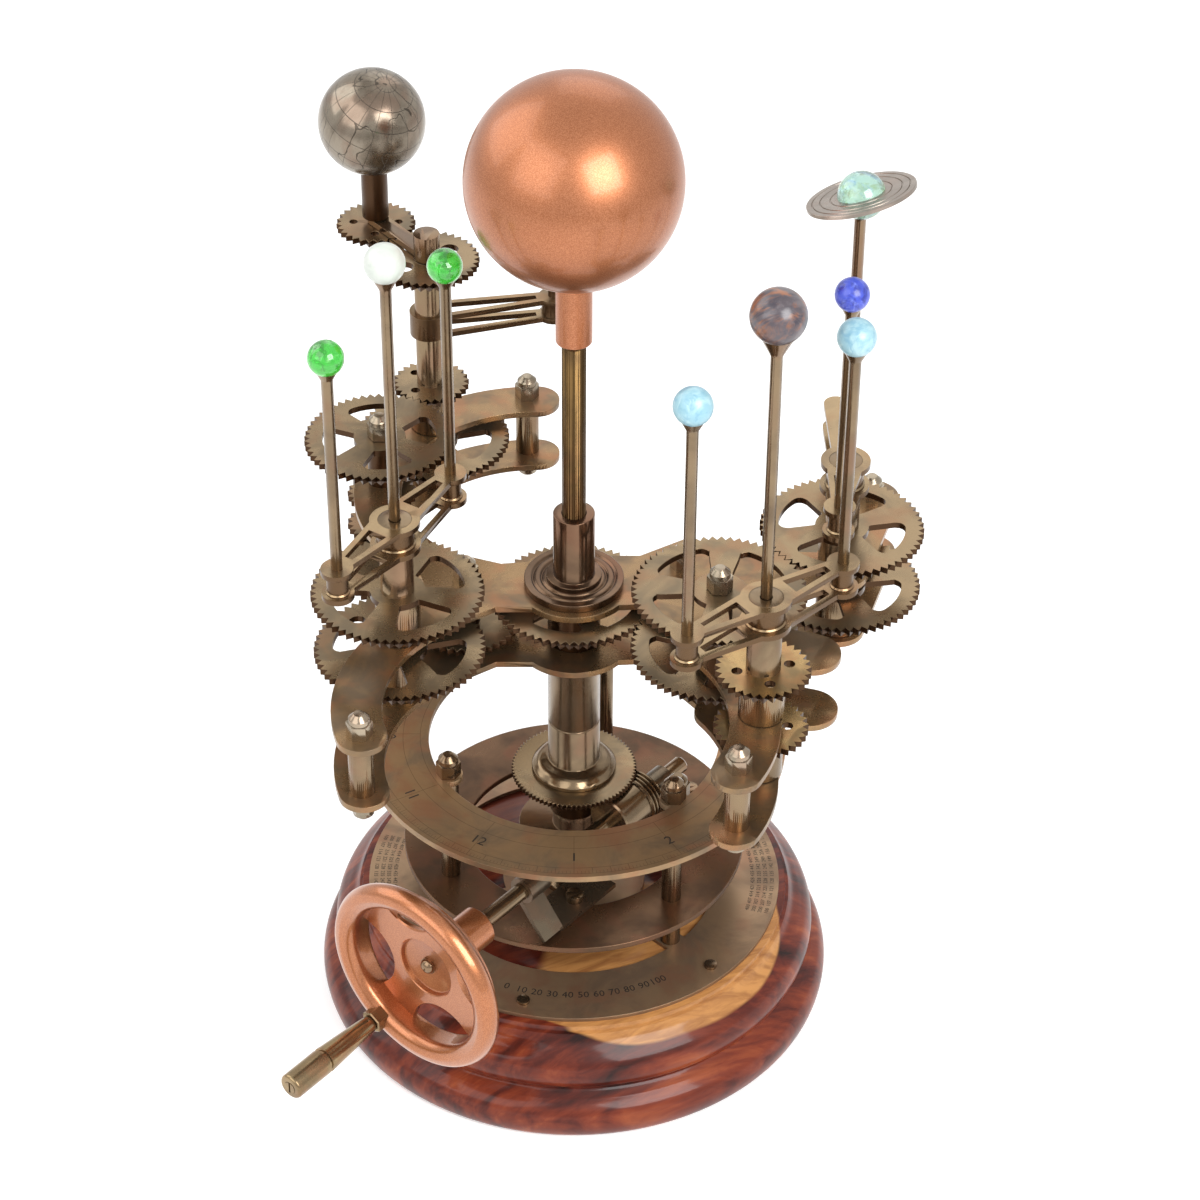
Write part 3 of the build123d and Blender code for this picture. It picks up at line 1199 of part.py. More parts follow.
# Globe, its gear and its post
globe_wheel = wheel(GLOBE, EARTH_SUN_LEVEL, GLOBE_TEETH, globe_phase, 0.5, holes=4)
globe_rim = GLOBE_HEIGHT - sqrt(GLOBE_RADIUS**2 - GLOBE_POST**2)
post_shape = turned(upright(GLOBE), [
    (0, EARTH_SUN_LEVEL),
    (STUD_RADIUS, EARTH_SUN_LEVEL),
    (STUD_RADIUS, globe_arm_top + END_FLOAT),
    (GLOBE_POST, globe_arm_top + END_FLOAT),
    (GLOBE_POST, globe_rim),
    (0, globe_rim),
])
with BuildPart() as globe_post:
    add(globe_wheel)
    add(post_shape)
    with Locations((*GLOBE, GLOBE_HEIGHT)):
        Sphere(GLOBE_RADIUS + SEAT, mode=Mode.SUBTRACT)
globe_post.part.label = "globe_post"
export_step(globe_post.part, "parts/globe_post.step")

with BuildPart() as globe:
    with Locations((*GLOBE, GLOBE_HEIGHT)):
        Sphere(GLOBE_RADIUS)
globe.part.label = "globe"
export_step(globe.part, "parts/globe.step")
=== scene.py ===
"""Looks of a hand-cranked brass orrery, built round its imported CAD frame."""
import json
from math import cos, pi, radians, sin

import bmesh
import bpy
import numpy as np
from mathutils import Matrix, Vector


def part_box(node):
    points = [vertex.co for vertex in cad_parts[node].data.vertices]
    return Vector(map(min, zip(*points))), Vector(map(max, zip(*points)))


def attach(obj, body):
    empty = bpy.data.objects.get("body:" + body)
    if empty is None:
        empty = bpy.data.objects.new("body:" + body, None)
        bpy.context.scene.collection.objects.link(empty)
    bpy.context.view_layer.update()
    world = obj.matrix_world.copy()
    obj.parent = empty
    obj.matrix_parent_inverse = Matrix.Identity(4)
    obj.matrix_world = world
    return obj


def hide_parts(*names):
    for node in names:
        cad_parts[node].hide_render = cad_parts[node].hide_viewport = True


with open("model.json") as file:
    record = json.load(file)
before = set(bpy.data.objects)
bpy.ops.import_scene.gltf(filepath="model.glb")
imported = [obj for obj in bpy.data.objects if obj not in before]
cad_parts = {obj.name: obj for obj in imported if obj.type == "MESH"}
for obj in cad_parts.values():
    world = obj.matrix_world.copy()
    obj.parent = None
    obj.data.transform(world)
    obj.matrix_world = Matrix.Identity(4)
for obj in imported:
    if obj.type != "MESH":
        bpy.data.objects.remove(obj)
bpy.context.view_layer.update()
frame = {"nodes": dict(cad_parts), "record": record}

body_of_node = {n: body for body, nodes in frame["record"]["behaviour"]["bodies"].items() for n in nodes}

# Camera
# The photograph looks 37.8 degrees down from 1.53 m, with the spindle a little left of the middle.
camera_pitch = radians(37.8)
camera_distance = 1.5335
camera_target = Vector((0, 0, 0.222))
camera_data = bpy.data.cameras.new("camera")
camera = bpy.data.objects.new("camera", camera_data)
bpy.context.scene.collection.objects.link(camera)
camera.location = camera_target + camera_distance * Vector((0, -cos(camera_pitch), sin(camera_pitch)))
camera.rotation_euler = (pi / 2 - camera_pitch, 0, 0)
camera_data.sensor_width = 36
camera_data.lens = 36 * 3400 / 1200
camera_data.shift_x = 26 / 1200
bpy.context.scene.camera = camera
bpy.context.scene.view_settings.view_transform = "Standard"


class Value:
    """One shader socket; arithmetic on it adds Math nodes to its tree."""

    def __init__(self, tree, socket):
        self.tree = tree
        self.socket = socket

    def math(self, operation, *others):
        return self.tree.add("ShaderNodeMath", {"operation": operation}, dict(enumerate((self, *others))))

    def __add__(self, other):
        return self.math("ADD", other)

    def __radd__(self, other):
        return self.math("ADD", other)

    def __sub__(self, other):
        return self.math("SUBTRACT", other)

    def __rsub__(self, other):
        return self.tree.add("ShaderNodeMath", {"operation": "SUBTRACT"}, {0: other, 1: self})

    def __mul__(self, other):
        return self.math("MULTIPLY", other)

    def __rmul__(self, other):
        return self.math("MULTIPLY", other)

    def __truediv__(self, other):
        return self.math("DIVIDE", other)

    def __pow__(self, other):
        return self.math("POWER", other)

    def clipped(self, low, high):
        """0 below low, 1 above high and a smooth step between."""
        return self.tree.add(
            "ShaderNodeMapRange", {"interpolation_type": "SMOOTHSTEP"}, {"Value": self, "From Min": low, "From Max": high}
        )


class Finish:
    """A material whose nodes all come from one method, around a single Principled shader."""

    def __init__(self, name, **constants):
        self.material = bpy.data.materials.new(name)
        self.material.use_nodes = True
        self.nodes = self.material.node_tree.nodes
        self.links = self.material.node_tree.links
        self.shader = self.nodes["Principled BSDF"]
        for socket, value in constants.items():
            self.shader.inputs[socket.replace("_", " ")].default_value = value

    def add(self, kind, settings=None, inputs=None, output=0):
        node = self.nodes.new(kind)
        for key, value in (settings or {}).items():
            if key == "stops":
                while len(node.color_ramp.elements) < len(value):
                    node.color_ramp.elements.new(0.5)
                for element, (position, colour) in zip(node.color_ramp.elements, value):
                    element.position = position
                    element.color = (*colour, 1)
            else:
                setattr(node, key, value)
        for key, value in (inputs or {}).items():
            if isinstance(value, Value):
                self.links.new(value.socket, node.inputs[key])
            else:
                node.inputs[key].default_value = value
        return Value(self, node.outputs[output])

    def place(self, centre=(0, 0, 0), turn=(0, 0, 0), scale=(1, 1, 1)):
        """Object coordinates, moved, turned or stretched by a Mapping node."""
        source = self.add("ShaderNodeTexCoord", output="Object")
        return self.add(
            "ShaderNodeMapping", {"vector_type": "TEXTURE"},
            {"Vector": source, "Location": centre, "Rotation": turn, "Scale": scale},
        )

    def noise(self, where, scale, detail=3.0, roughness=0.55, distortion=0.0):
        return self.add(
            "ShaderNodeTexNoise", None,
            {"Vector": where, "Scale": scale, "Detail": detail, "Roughness": roughness, "Distortion": distortion},
        )

    def mixed(self, factor, first, second):
        """Colour mix from first to second."""
        rgba = [(*c, 1) if isinstance(c, tuple) and len(c) == 3 else c for c in (first, second)]
        return self.add("ShaderNodeMix", {"data_type": "RGBA"}, {0: factor, 6: rgba[0], 7: rgba[1]}, output=2)

    def axes(self, where):
        split = self.nodes.new("ShaderNodeSeparateXYZ")
        self.links.new(where.socket, split.inputs[0])
        return [Value(self, output) for output in split.outputs]

    def feed(self, **values):
        """Links values to the Principled shader's sockets."""
        for socket, value in values.items():
            self.links.new(value.socket, self.shader.inputs[socket.replace("_", " ")])

    def relief(self, height, distance, strength=1.0):
        """Bump from a height field, fed to Normal."""
        bump = self.add("ShaderNodeBump", None, {"Height": height, "Distance": distance, "Strength": strength})
        self.feed(Normal=bump)


# Studio
# A white sweep under broad soft lamps; metal and glass see the same white that the camera sees.
world = bpy.data.worlds.new("studio")
bpy.context.scene.world = world
world.use_nodes = True
sky = world.node_tree.nodes
wires = world.node_tree.links
sky.clear()
path = sky.new("ShaderNodeLightPath")
seen = sky.new("ShaderNodeMath")
seen.operation = "ADD"
seen.use_clamp = True
wires.new(path.outputs["Is Camera Ray"], seen.inputs[0])
wires.new(path.outputs["Is Transmission Ray"], seen.inputs[1])
clear = sky.new("ShaderNodeMath")
clear.operation = "MAXIMUM"
wires.new(seen.outputs[0], clear.inputs[0])
wires.new(path.outputs["Is Glossy Ray"], clear.inputs[1])
fill_light = sky.new("ShaderNodeBackground")
fill_light.inputs["Color"].default_value = (1, 1, 1, 1)
fill_light.inputs["Strength"].default_value = 0.55
backdrop = sky.new("ShaderNodeBackground")
backdrop.inputs["Color"].default_value = (1, 1, 1, 1)
backdrop.inputs["Strength"].default_value = 1.0
choose = sky.new("ShaderNodeMixShader")
wires.new(clear.outputs[0], choose.inputs[0])
wires.new(fill_light.outputs[0], choose.inputs[1])
wires.new(backdrop.outputs[0], choose.inputs[2])
wires.new(choose.outputs[0], sky.new("ShaderNodeOutputWorld").inputs[0])

for lamp_name, lamp_place, lamp_size, lamp_power in (
    ("key", (0.80, -1.10, 1.30), 1.0, 26),
    ("side", (-1.3, -1.2, 1.6), 1.8, 20),
    ("left", (-1.2, 0.55, 1.25), 1.3, 9),
    ("back", (0.3, 1.6, 1.5), 1.2, 4),
):
    lamp_data = bpy.data.lights.new(lamp_name, "AREA")
    lamp_data.size = lamp_size
    lamp_data.energy = lamp_power
    lamp = bpy.data.objects.new(lamp_name, lamp_data)
    bpy.context.scene.collection.objects.link(lamp)
    lamp.location = lamp_place
    lamp.rotation_euler = (Vector((0, 0, 0.25)) - lamp.location).to_track_quat("-Z", "Y").to_euler()

sweep = Finish("sweep", Roughness=0.9, Specular_IOR_Level=0.0, Emission_Strength=0.3)
sweep.shader.inputs["Base Color"].default_value = (0.93, 0.93, 0.93, 1)
camera_ray, glossy_ray, clear_ray = (
    sweep.add("ShaderNodeLightPath", output=kind) for kind in ("Is Camera Ray", "Is Glossy Ray", "Is Transmission Ray")
)
looked_at = camera_ray.math("MAXIMUM", glossy_ray).math("MAXIMUM", clear_ray)
sweep.feed(Emission_Color=sweep.mixed(looked_at, (0.0, 0.0, 0.0), (1.0, 1.0, 1.0)))
sweep_mesh = bpy.data.meshes.new("floor")
sweep_mesh.from_pydata([(-6, -6, 0), (6, -6, 0), (6, 6, 0), (-6, 6, 0)], [], [(0, 1, 2, 3)])
floor = bpy.data.objects.new("floor", sweep_mesh)
bpy.context.scene.collection.objects.link(floor)
floor.data.materials.append(sweep.material)


# Wooden base
# One turned disc of rosewood, lacquered, with a band of pale sapwood across its front right edge.
def skin(name, rows, finish, closed_rows=False):
    """Mesh from a grid of points, rows by columns by xyz, whose columns close on themselves.

    A first or last row that has shrunk to one point becomes a pole. With closed_rows the last row
    joins the first, as on a ring.
    """
    rows = np.asarray(rows, float)
    count, around = rows.shape[:2]
    index = np.arange(count * around).reshape(count, around)
    below, above = (index, np.roll(index, -1, 0)) if closed_rows else (index[:-1], index[1:])
    quads = np.stack([below, np.roll(below, -1, 1), np.roll(above, -1, 1), above], -1).reshape(-1, 4)
    mesh = bpy.data.meshes.new(name)
    mesh.from_pydata(rows.reshape(-1, 3).tolist(), [], quads.tolist())
    return settled(name, mesh, finish)


def settled(name, mesh, finish, crease=32):
    """Object at the origin with doubles merged, normals outward and edges sharper than crease kept sharp."""
    work = bmesh.new()
    work.from_mesh(mesh)
    bmesh.ops.remove_doubles(work, verts=work.verts, dist=1e-6)
    bmesh.ops.recalc_face_normals(work, faces=work.faces)
    work.to_mesh(mesh)
    work.free()
    mesh.polygons.foreach_set("use_smooth", np.ones(len(mesh.polygons), bool))
    mesh.set_sharp_from_angle(angle=radians(crease))
    made = bpy.data.objects.new(name, mesh)
    bpy.context.scene.collection.objects.link(made)
    made.data.materials.append(finish.material)
    return made


def seated(piece, node):
    """The piece takes a CAD node's place and body."""
    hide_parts(node)
    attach(piece, body_of_node[node])
    return piece


def lathe(centre, axis, profile, segments=96):
    """Rows of a turned surface: point (r, h) of the profile goes to centre + h axis + r (cos t u + sin t v)."""
    axis = np.asarray(axis, float)
    side = np.cross(axis, (0, 1, 0) if abs(axis[1]) < 0.9 else (1, 0, 0))
    side /= np.linalg.norm(side)
    other = np.cross(axis, side)
    t = np.linspace(0, 2 * pi, segments, endpoint=False)
    ring = np.cos(t)[:, None] * side + np.sin(t)[:, None] * other
    profile = np.asarray(profile, float)
    return np.asarray(centre, float) + profile[:, 1, None, None] * axis + profile[:, 0, None, None] * ring


def eased(points, steps=8):
    """Smooth curve through profile points: a Catmull-Rom spline with doubled ends."""
    p = np.vstack([points[0], points, points[-1]]).astype(float)
    t = np.linspace(0, 1, steps, endpoint=False)[:, None]
    spans = [
        0.5 * (2 * b + (c - a) * t + (2 * a - 5 * b + 4 * c - d) * t**2 + (3 * b - a - 3 * c + d) * t**3)
        for a, b, c, d in zip(p, p[1:], p[2:], p[3:])
    ]
    return np.vstack([*spans, points[-1:]])


rosewood = Finish("rosewood", Coat_Weight=0.3, Coat_Roughness=0.1, Specular_IOR_Level=0.12)
boards = rosewood.place(turn=(0, 0, radians(24)), scale=(1, 0.16, 0.3))
figure = rosewood.noise(boards, 9, 3, 0.55, 0.7)
streaks = rosewood.noise(boards, 38, 4, 0.6, 0.5)
pores = rosewood.noise(rosewood.place(turn=(0, 0, radians(24)), scale=(1, 0.05, 0.4)), 900, 2)
heart = rosewood.add(
    "ShaderNodeValToRGB",
    {"stops": [(0.34, (0.016, 0.004, 0.003)), (0.45, (0.085, 0.013, 0.007)), (0.55, (0.175, 0.030, 0.012)),
               (0.70, (0.330, 0.080, 0.025))]},
    {"Fac": figure * 0.66 + streaks * 0.34},
)
east, north, height = rosewood.axes(rosewood.place())
radius = (east * east + north * north) ** 0.5
facing = (east * 0.57 - north * 0.82) / radius
edge_wave = rosewood.noise(rosewood.place(), 17, 1, 0.4) * 0.010
sap_reach = facing.clipped(0.66, 0.98) * 0.0105 + edge_wave + 0.0925
sap = (sap_reach - radius).clipped(-0.0007, 0.0007) * facing.clipped(0.62, 0.70) * height.clipped(0.036, 0.040)
sapwood = rosewood.mixed(streaks.clipped(0.35, 0.7), (0.50, 0.235, 0.075), (0.30, 0.125, 0.04))
rosewood.feed(Base_Color=rosewood.mixed(sap, heart, sapwood), Roughness=0.26 + 0.16 * streaks)
rosewood.relief(pores, 0.0001, 0.1)

bead = [(0.1185, 0.0), (0.1208, 0.003), (0.122, 0.0078), (0.1217, 0.0125), (0.1195, 0.017), (0.1152, 0.0205)]
ogee = [(0.1112, 0.0242), (0.1136, 0.027), (0.1148, 0.0308), (0.1147, 0.035), (0.1128, 0.0398), (0.1092, 0.0436),
        (0.1055, 0.0468), (0.1038, 0.0494)]
base_profile = np.vstack([
    [(0, 0)], eased(np.array(bead)), [(0.1122, 0.0218), (0.1112, 0.0228)], eased(np.array(ogee)),
    [(0.1032, 0.0503), (0.1018, 0.0508), (0.1015, 0.0533), (0.1011, 0.0535), (0, 0.0535)],
])
seated(skin("turned_base", lathe((0, 0, 0), (0, 0, 1), base_profile, 160), rosewood), "wood_base")


# Engraved plates
# Base plate, lower disc and scale ring are flat sheet brass, turned at the rim, aged brown and polished.
def aged(name, polished, toned, blush, roughness=0.3, metallic=0.92, cloud=34.0, walls=None, **constants):
    """Aged copper alloy: clouds of a darker tone and of a warmer blush over a polished colour.

    With walls given, faces that stand upright are mixed towards that darker colour by their direction alone: painted
    shade on every upright face.
    """
    finish = Finish(name, Metallic=metallic, **constants)
    where = finish.place()
    clouds = finish.noise(where, cloud, 4, 0.6, 0.6).clipped(0.38, 0.66)
    warmth = finish.noise(finish.place(centre=(0.3, 0.1, 0.2)), cloud * 1.7, 3, 0.5, 0.4).clipped(0.46, 0.68)
    specks = finish.noise(where, cloud * 22, 2, 0.6)
    colour = finish.mixed(warmth * 0.75, finish.mixed(clouds, polished, toned), blush)
    if walls:
        # Painted shade: the closer a face stands to upright, the more it takes the walls colour.
        _, _, level = finish.axes(finish.add("ShaderNodeNewGeometry", output="Normal"))
        colour = finish.mixed(level.math("ABSOLUTE").clipped(0.2, 0.8), walls, colour)
    finish.feed(Base_Color=colour, Roughness=roughness - 0.06 + 0.10 * clouds + 0.08 * specks)
    finish.relief(specks, 0.00012, 0.15)
    return finish, colour


def rim_copy(node, finish, width=0.0003, crease=32):
    """A CAD node's own mesh, welded, with its sharp edges broken by a small bevel."""
    mesh = frame["nodes"][node].data.copy()
    mesh.materials.clear()
    piece = settled(node + "_finished", mesh, finish, crease)
    if width:
        bevel = piece.modifiers.new("broken_edges", "BEVEL")
        bevel.width = width
        bevel.segments = 2
        bevel.limit_method = "ANGLE"
        bevel.angle_limit = radians(crease)
    return seated(piece, node)


sheet_brass, _ = aged("sheet_brass", (0.31, 0.20, 0.115), (0.20, 0.13, 0.08), (0.27, 0.14, 0.08), 0.36, 0.65)
disc_bronze, _ = aged("disc_bronze", (0.13, 0.070, 0.036), (0.085, 0.048, 0.027), (0.15, 0.065, 0.034), 0.3, 0.8)
rim_copy("base_plate", sheet_brass)
rim_copy("lower_disc", disc_bronze)

# Scale ring
# The ring is engraved with rings of fine divisions and plain numbers, darkened where the tool has cut.
ring_brass, ring_colour = aged("ring_brass", (0.32, 0.20, 0.10), (0.19, 0.13, 0.075), (0.30, 0.14, 0.07), 0.36, 0.65)
east, north, _ = ring_brass.axes(ring_brass.place())
radius = (east * east + north * north) ** 0.5
turn = east.math("ARCTAN2", north) / (2 * pi) + 0.5


def divisions(turn, radius, count, inner, outer, width):
    """1 on the short radial cuts of a scale: count round the ring, between two radii, each width wide."""
    phase = (turn * count + 0.5).math("FRACT") - 0.5
    across = phase.math("ABSOLUTE") * radius * (2 * pi / count)
    cut = 1 - across.clipped(width * 0.35, width * 0.65)
    return cut * radius.clipped(inner - 1e-4, inner) * (1 - radius.clipped(outer, outer + 1e-4))


def circles(radius, places, width):
    """1 on engraved circles at given radii."""
    total = 0
    for place in places:
        total = total + (1 - (radius - place).math("ABSOLUTE").clipped(width * 0.3, width * 0.7))
    return total


engraving = (
    divisions(turn, radius, 360, 0.0945, 0.0962, 0.00022)
    + divisions(turn, radius, 72, 0.0925, 0.0962, 0.0003)
    + divisions(turn, radius, 12, 0.0715, 0.0925, 0.0003)
    + circles(radius, (0.0715, 0.0795, 0.0925, 0.0962), 0.0003)
).clipped(0.1, 0.9)
ring_brass.feed(Base_Color=ring_brass.mixed(engraving * 0.45, ring_colour, (0.04, 0.03, 0.02)))
rim_copy("scale_ring", ring_brass)


def numerals(name, labels, radius, size, finish, node):
    """Engraved numbers as thin closed solids on a plate, each at its angle with its head towards the middle."""
    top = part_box(node)[1].z + 0.00001
    points, faces = [], []
    for angle, text in labels:
        curve = bpy.data.curves.new(name, "FONT")
        curve.body = text
        curve.size = size
        curve.align_x = "CENTER"
        curve.align_y = "CENTER"
        curve.extrude = 0.00002
        curve.resolution_u = 2
        holder = bpy.data.objects.new(name, curve)
        mesh = bpy.data.meshes.new_from_object(holder)
        co = np.zeros(len(mesh.vertices) * 3)
        mesh.vertices.foreach_get("co", co)
        x, y, z = co.reshape(-1, 3).T
        tangent = np.array((-sin(angle), cos(angle)))
        outward = np.array((cos(angle), sin(angle)))
        plan = outward * radius + x[:, None] * tangent - y[:, None] * outward
        faces += [[v + len(points) for v in face.vertices] for face in mesh.polygons]
        points += np.column_stack([plan, z + top]).tolist()
        bpy.data.objects.remove(holder)
    mesh = bpy.data.meshes.new(name)
    mesh.from_pydata(points, [], faces)
    made = settled(name, mesh, finish)
    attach(made, body_of_node[node])


engraver_black = Finish("engraved_black", Metallic=0.6, Roughness=0.5)
engraver_black.shader.inputs["Base Color"].default_value = (0.03, 0.025, 0.02, 1)
hours = [(2 * pi * hour / 12 - pi / 2, str(hour + 1)) for hour in range(12)]
numerals("ring_numbers", hours, 0.0855, 0.0075, engraver_black, "scale_ring")
for side_name, middle in (("right", 0.0), ("left", 180.0)):
    for row in range(4):
        row_radius = 0.0952 - 0.0031 * row
        table = [(radians(middle + 3.2 * (place - 5)), str(100 * (row + 1) + 7 * place)) for place in range(11)]
        numerals(f"{side_name}_table_{row + 1}", table, row_radius, 0.0027, engraver_black, "base_plate")
degrees = [(radians(-112 + 5 * place), str(10 * place)) for place in range(11)]
numerals("front_scale", degrees, 0.083, 0.0055, engraver_black, "base_plate")

# Posts, nuts and pedestal
# Turned rods and hexagon nuts of dark bronze, polished bright enough to mirror the room.
dark_bronze, _ = aged("dark_bronze", (0.235, 0.168, 0.100), (0.155, 0.110, 0.068), (0.22, 0.13, 0.08), 0.17, cloud=24)
strap_bronze, _ = aged("strap_bronze", (0.15, 0.115, 0.075), (0.11, 0.082, 0.055), (0.15, 0.095, 0.06), 0.26, 0.8, 40)
bright_bronze, _ = aged("bright_bronze", (0.30, 0.215, 0.115), (0.19, 0.135, 0.075), (0.26, 0.15, 0.08), 0.2, cloud=60)
for node in ("ring_posts", "ring_nuts", "pedestal", "frame_bolts"):
    rim_copy(node, dark_bronze, 0.00035)

# Spindle and sun
# A bright bronze rod carries the fixed sun gear, a copper socket and the large ball, lacquered in copper paint.
spindle_bronze, _ = aged("spindle_bronze", (0.100, 0.058, 0.020), (0.058, 0.034, 0.014), (0.095, 0.045, 0.018), 0.18, cloud=30)
rim_copy("central_spindle", spindle_bronze, 0)
copper_paint = Finish("copper_paint", Metallic=0.85, Roughness=0.36, Coat_Weight=0.3, Coat_Roughness=0.1)
flakes = copper_paint.noise(copper_paint.place(), 2600, 1, 0.5)
patches = copper_paint.noise(copper_paint.place(), 18, 2, 0.5)
copper_paint.feed(
    Base_Color=copper_paint.mixed(flakes.clipped(0.4, 0.62), (0.32, 0.110, 0.046), (0.45, 0.178, 0.082)),
    Roughness=0.33 + 0.08 * patches,
)
copper_paint.relief(flakes, 0.00008, 0.2)
copper_lacquer = Finish("copper_lacquer", Metallic=0.85, Coat_Weight=0.6, Coat_Roughness=0.06)
flakes = copper_lacquer.noise(copper_lacquer.place(), 2600, 1, 0.5)
copper_lacquer.feed(
    Base_Color=copper_lacquer.mixed(flakes.clipped(0.4, 0.62), (0.33, 0.112, 0.042), (0.45, 0.172, 0.070)),
    Roughness=0.26 + 0.08 * flakes,
)
copper_lacquer.relief(flakes, 0.00005, 0.15)
rim_copy("sun_socket", copper_paint, 0.0003)


def sphere_rows(centre, radius, rings=48, segments=96):
    """Ball as a lathe: half circle from pole to pole about the vertical."""
    t = np.linspace(0, pi, rings + 1)
    return lathe(centre, (0, 0, 1), np.column_stack([radius * np.sin(t), -radius * np.cos(t)]), segments)


def ball_of(node, finish, rings=48, segments=96, growth=1.0):
    """Fine ball in place of a node's coarse one, found from its box."""
    low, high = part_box(node)
    radius = growth * (high.z - low.z) / 2
    centre = (low + high) / 2
    return seated(skin(node + "_fine", sphere_rows(centre, radius, rings, segments), finish), node)


ball_of("sun_ball", copper_paint, 96, 160)

# Crank
# Bronze shaft with its worm, a copper-painted cast handwheel, and a turned handle that spins on its own stem.

# Handwheel
# Cast in one with its long hub: a web that four round bites open at its edge, inside a thick rolled rim.
crank_foot = np.array((0.020147, -0.016905, 0.108))
crank_axis = np.array((cos(radians(50)), sin(radians(50)), 0))
crank_side = np.array((crank_axis[1], -crank_axis[0], 0))
wheel_turn = np.linspace(0, 2 * pi, 288, endpoint=False)


def round_crank(sections):
    """Rows round the crank axis: foot + station axis + radius (cos t side + sin t up).

    A section is a station with a radius, which is one number or one for every angle t.
    """
    ring = np.outer(np.cos(wheel_turn), crank_side) + np.outer(np.sin(wheel_turn), (0, 0, 1))
    radii = np.stack([np.broadcast_to(radius, wheel_turn.shape) for _, radius in sections])
    stations = np.array([station for station, _ in sections])
    return crank_foot + stations[:, None, None] * crank_axis + radii[:, :, None] * ring


rim_section = np.array([
    (-0.1458, 0.0412), (-0.1446, 0.0450), (-0.1402, 0.0470), (-0.1362, 0.0453), (-0.1345, 0.0420), (-0.1325, 0.0402),
    (-0.1312, 0.0396), (-0.1308, 0.0384), (-0.1308, 0.0372), (-0.1316, 0.0364), (-0.1345, 0.0360), (-0.1380, 0.0357),
    (-0.1415, 0.0358), (-0.1442, 0.0376), (-0.1458, 0.0412),
])
seated(skin("handwheel_rim", round_crank(eased(rim_section, 4)), copper_lacquer), "handwheel")
bite_circle, bite_radius, web_reach = 0.0400, 0.0192, 0.0372
from_bite = (wheel_turn - radians(15) + pi / 4) % (pi / 2) - pi / 4
half_chord = bite_radius**2 - (bite_circle * np.sin(from_bite)) ** 2
bite_edge = bite_circle * np.cos(from_bite) - np.sqrt(np.clip(half_chord, 0, None))
web_edge = np.where(half_chord > 0, np.minimum(bite_edge, web_reach), web_reach)
seated(skin("handwheel_web", round_crank([
    (-0.1315, 0), (-0.1315, 0.0134), (-0.1318, 0.0142), (-0.1336, 0.0148), (-0.1340, 0.0153),
    (-0.1340, web_edge - 0.0008), (-0.1334, web_edge), (-0.1316, web_edge), (-0.1310, web_edge - 0.0007),
    (-0.1310, 0.0105), (-0.1302, 0.0098), (-0.0982, 0.0095), (-0.0972, 0.0085), (-0.0972, 0),
]), copper_lacquer), "handwheel")

# Handle
# A grip that widens to a groove and a barrel, between a hexagon nut at the rim and a slotted screw in its end.
handle_foot = crank_foot - 0.02025 * crank_side + np.array((0, 0, -0.0351))
dome_rise = np.linspace(0, pi / 2, 12)
dome = [(0.0039 * cos(rise), -0.1316 - 0.0036 * sin(rise)) for rise in dome_rise]
seated(skin("shaft_dome", lathe(crank_foot, crank_axis, [(0, -0.1305), (0.0039, -0.1305), *dome], 64), dark_bronze), "handle_fittings")
nut_profile = [(0, -0.1425), (0.0050, -0.1425), (0.0056, -0.1430), (0.0056, -0.1492), (0.0050, -0.1497), (0, -0.1497)]
seated(skin("stem_nut", lathe(handle_foot, crank_axis, nut_profile, 6), bright_bronze), "handle_fittings")
grip_end = -0.2022
end_round = [(0.0046 + 0.0015 * cos(turn), grip_end + 0.0015 - 0.0015 * sin(turn)) for turn in np.linspace(0, pi / 2, 8)]
grip_profile = [
    (0, -0.1500), (0.0036, -0.1500), (0.0040, -0.1506), (0.0042, -0.1540), (0.0061, -0.1795), (0.0061, -0.1800),
    (0.0053, -0.1804), (0.0053, -0.1814), (0.0061, -0.1818), *end_round, (0.0031, grip_end), (0.0031, grip_end + 0.0006),
    (0, grip_end + 0.0006),
]
seated(skin("turned_grip", lathe(handle_foot, crank_axis, grip_profile, 96), bright_bronze), "handle_grip")
for half, side_name in ((-1, "left"), (1, "right")):
    flat = np.linspace(-1.42, 1.42, 40)
    outline = 0.0030 * np.column_stack([half * np.cos(flat), np.sin(flat)])
    middle = outline.mean(0)
    heights = (grip_end + 0.0012, grip_end + 0.0012, grip_end - 0.0002, grip_end - 0.0002)
    rows = [
        handle_foot + height * crank_axis + point[:, :1] * crank_side + point[:, 1:] * np.array((0, 0, 1))
        for height, point in zip(heights, (np.tile(middle, (40, 1)), outline, outline, np.tile(middle, (40, 1))))
    ]
    seated(skin(f"end_screw_{side_name}", rows, bright_bronze), "handle_grip")

# Shaft and worm
# A plain ground shaft, and on it a smooth drum whose last third is ridged like a screw under the drive wheel.
wheel_turn_count = 64
shaft_profile = [(0, -0.1325), (0.0040, -0.1325), (0.0040, 0.0475), (0.0034, 0.0483), (0, 0.0483)]
seated(skin("crank_rod", lathe(crank_foot, crank_axis, shaft_profile, wheel_turn_count), dark_bronze), "crank_shaft")
ridge_length = 0.0022
ridges = [(radius, 0.0115 + ridge_length * (k + part)) for k in range(4)
          for radius, part in ((0.0116, 0.05), (0.0129, 0.30), (0.0129, 0.60), (0.0116, 0.85))]
drum_profile = [(0.0040, -0.006), (0.0110, -0.006), (0.0118, -0.0052), (0.0118, 0.0105), *ridges, (0.0118, 0.0205),
                (0.0066, 0.0206), (0.0066, 0.0212), (0.0040, 0.0212), (0.0040, -0.006)]
seated(skin("worm_drum", lathe(crank_foot, crank_axis, drum_profile, wheel_turn_count), dark_bronze), "worm")

# Shaft bearings
# Each is a strip of sheet bronze looped round the shaft, with one leg slanting down to a flat foot on the lower disc.
strip = 0.0024
disc_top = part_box("lower_disc")[1].z - crank_foot[2]


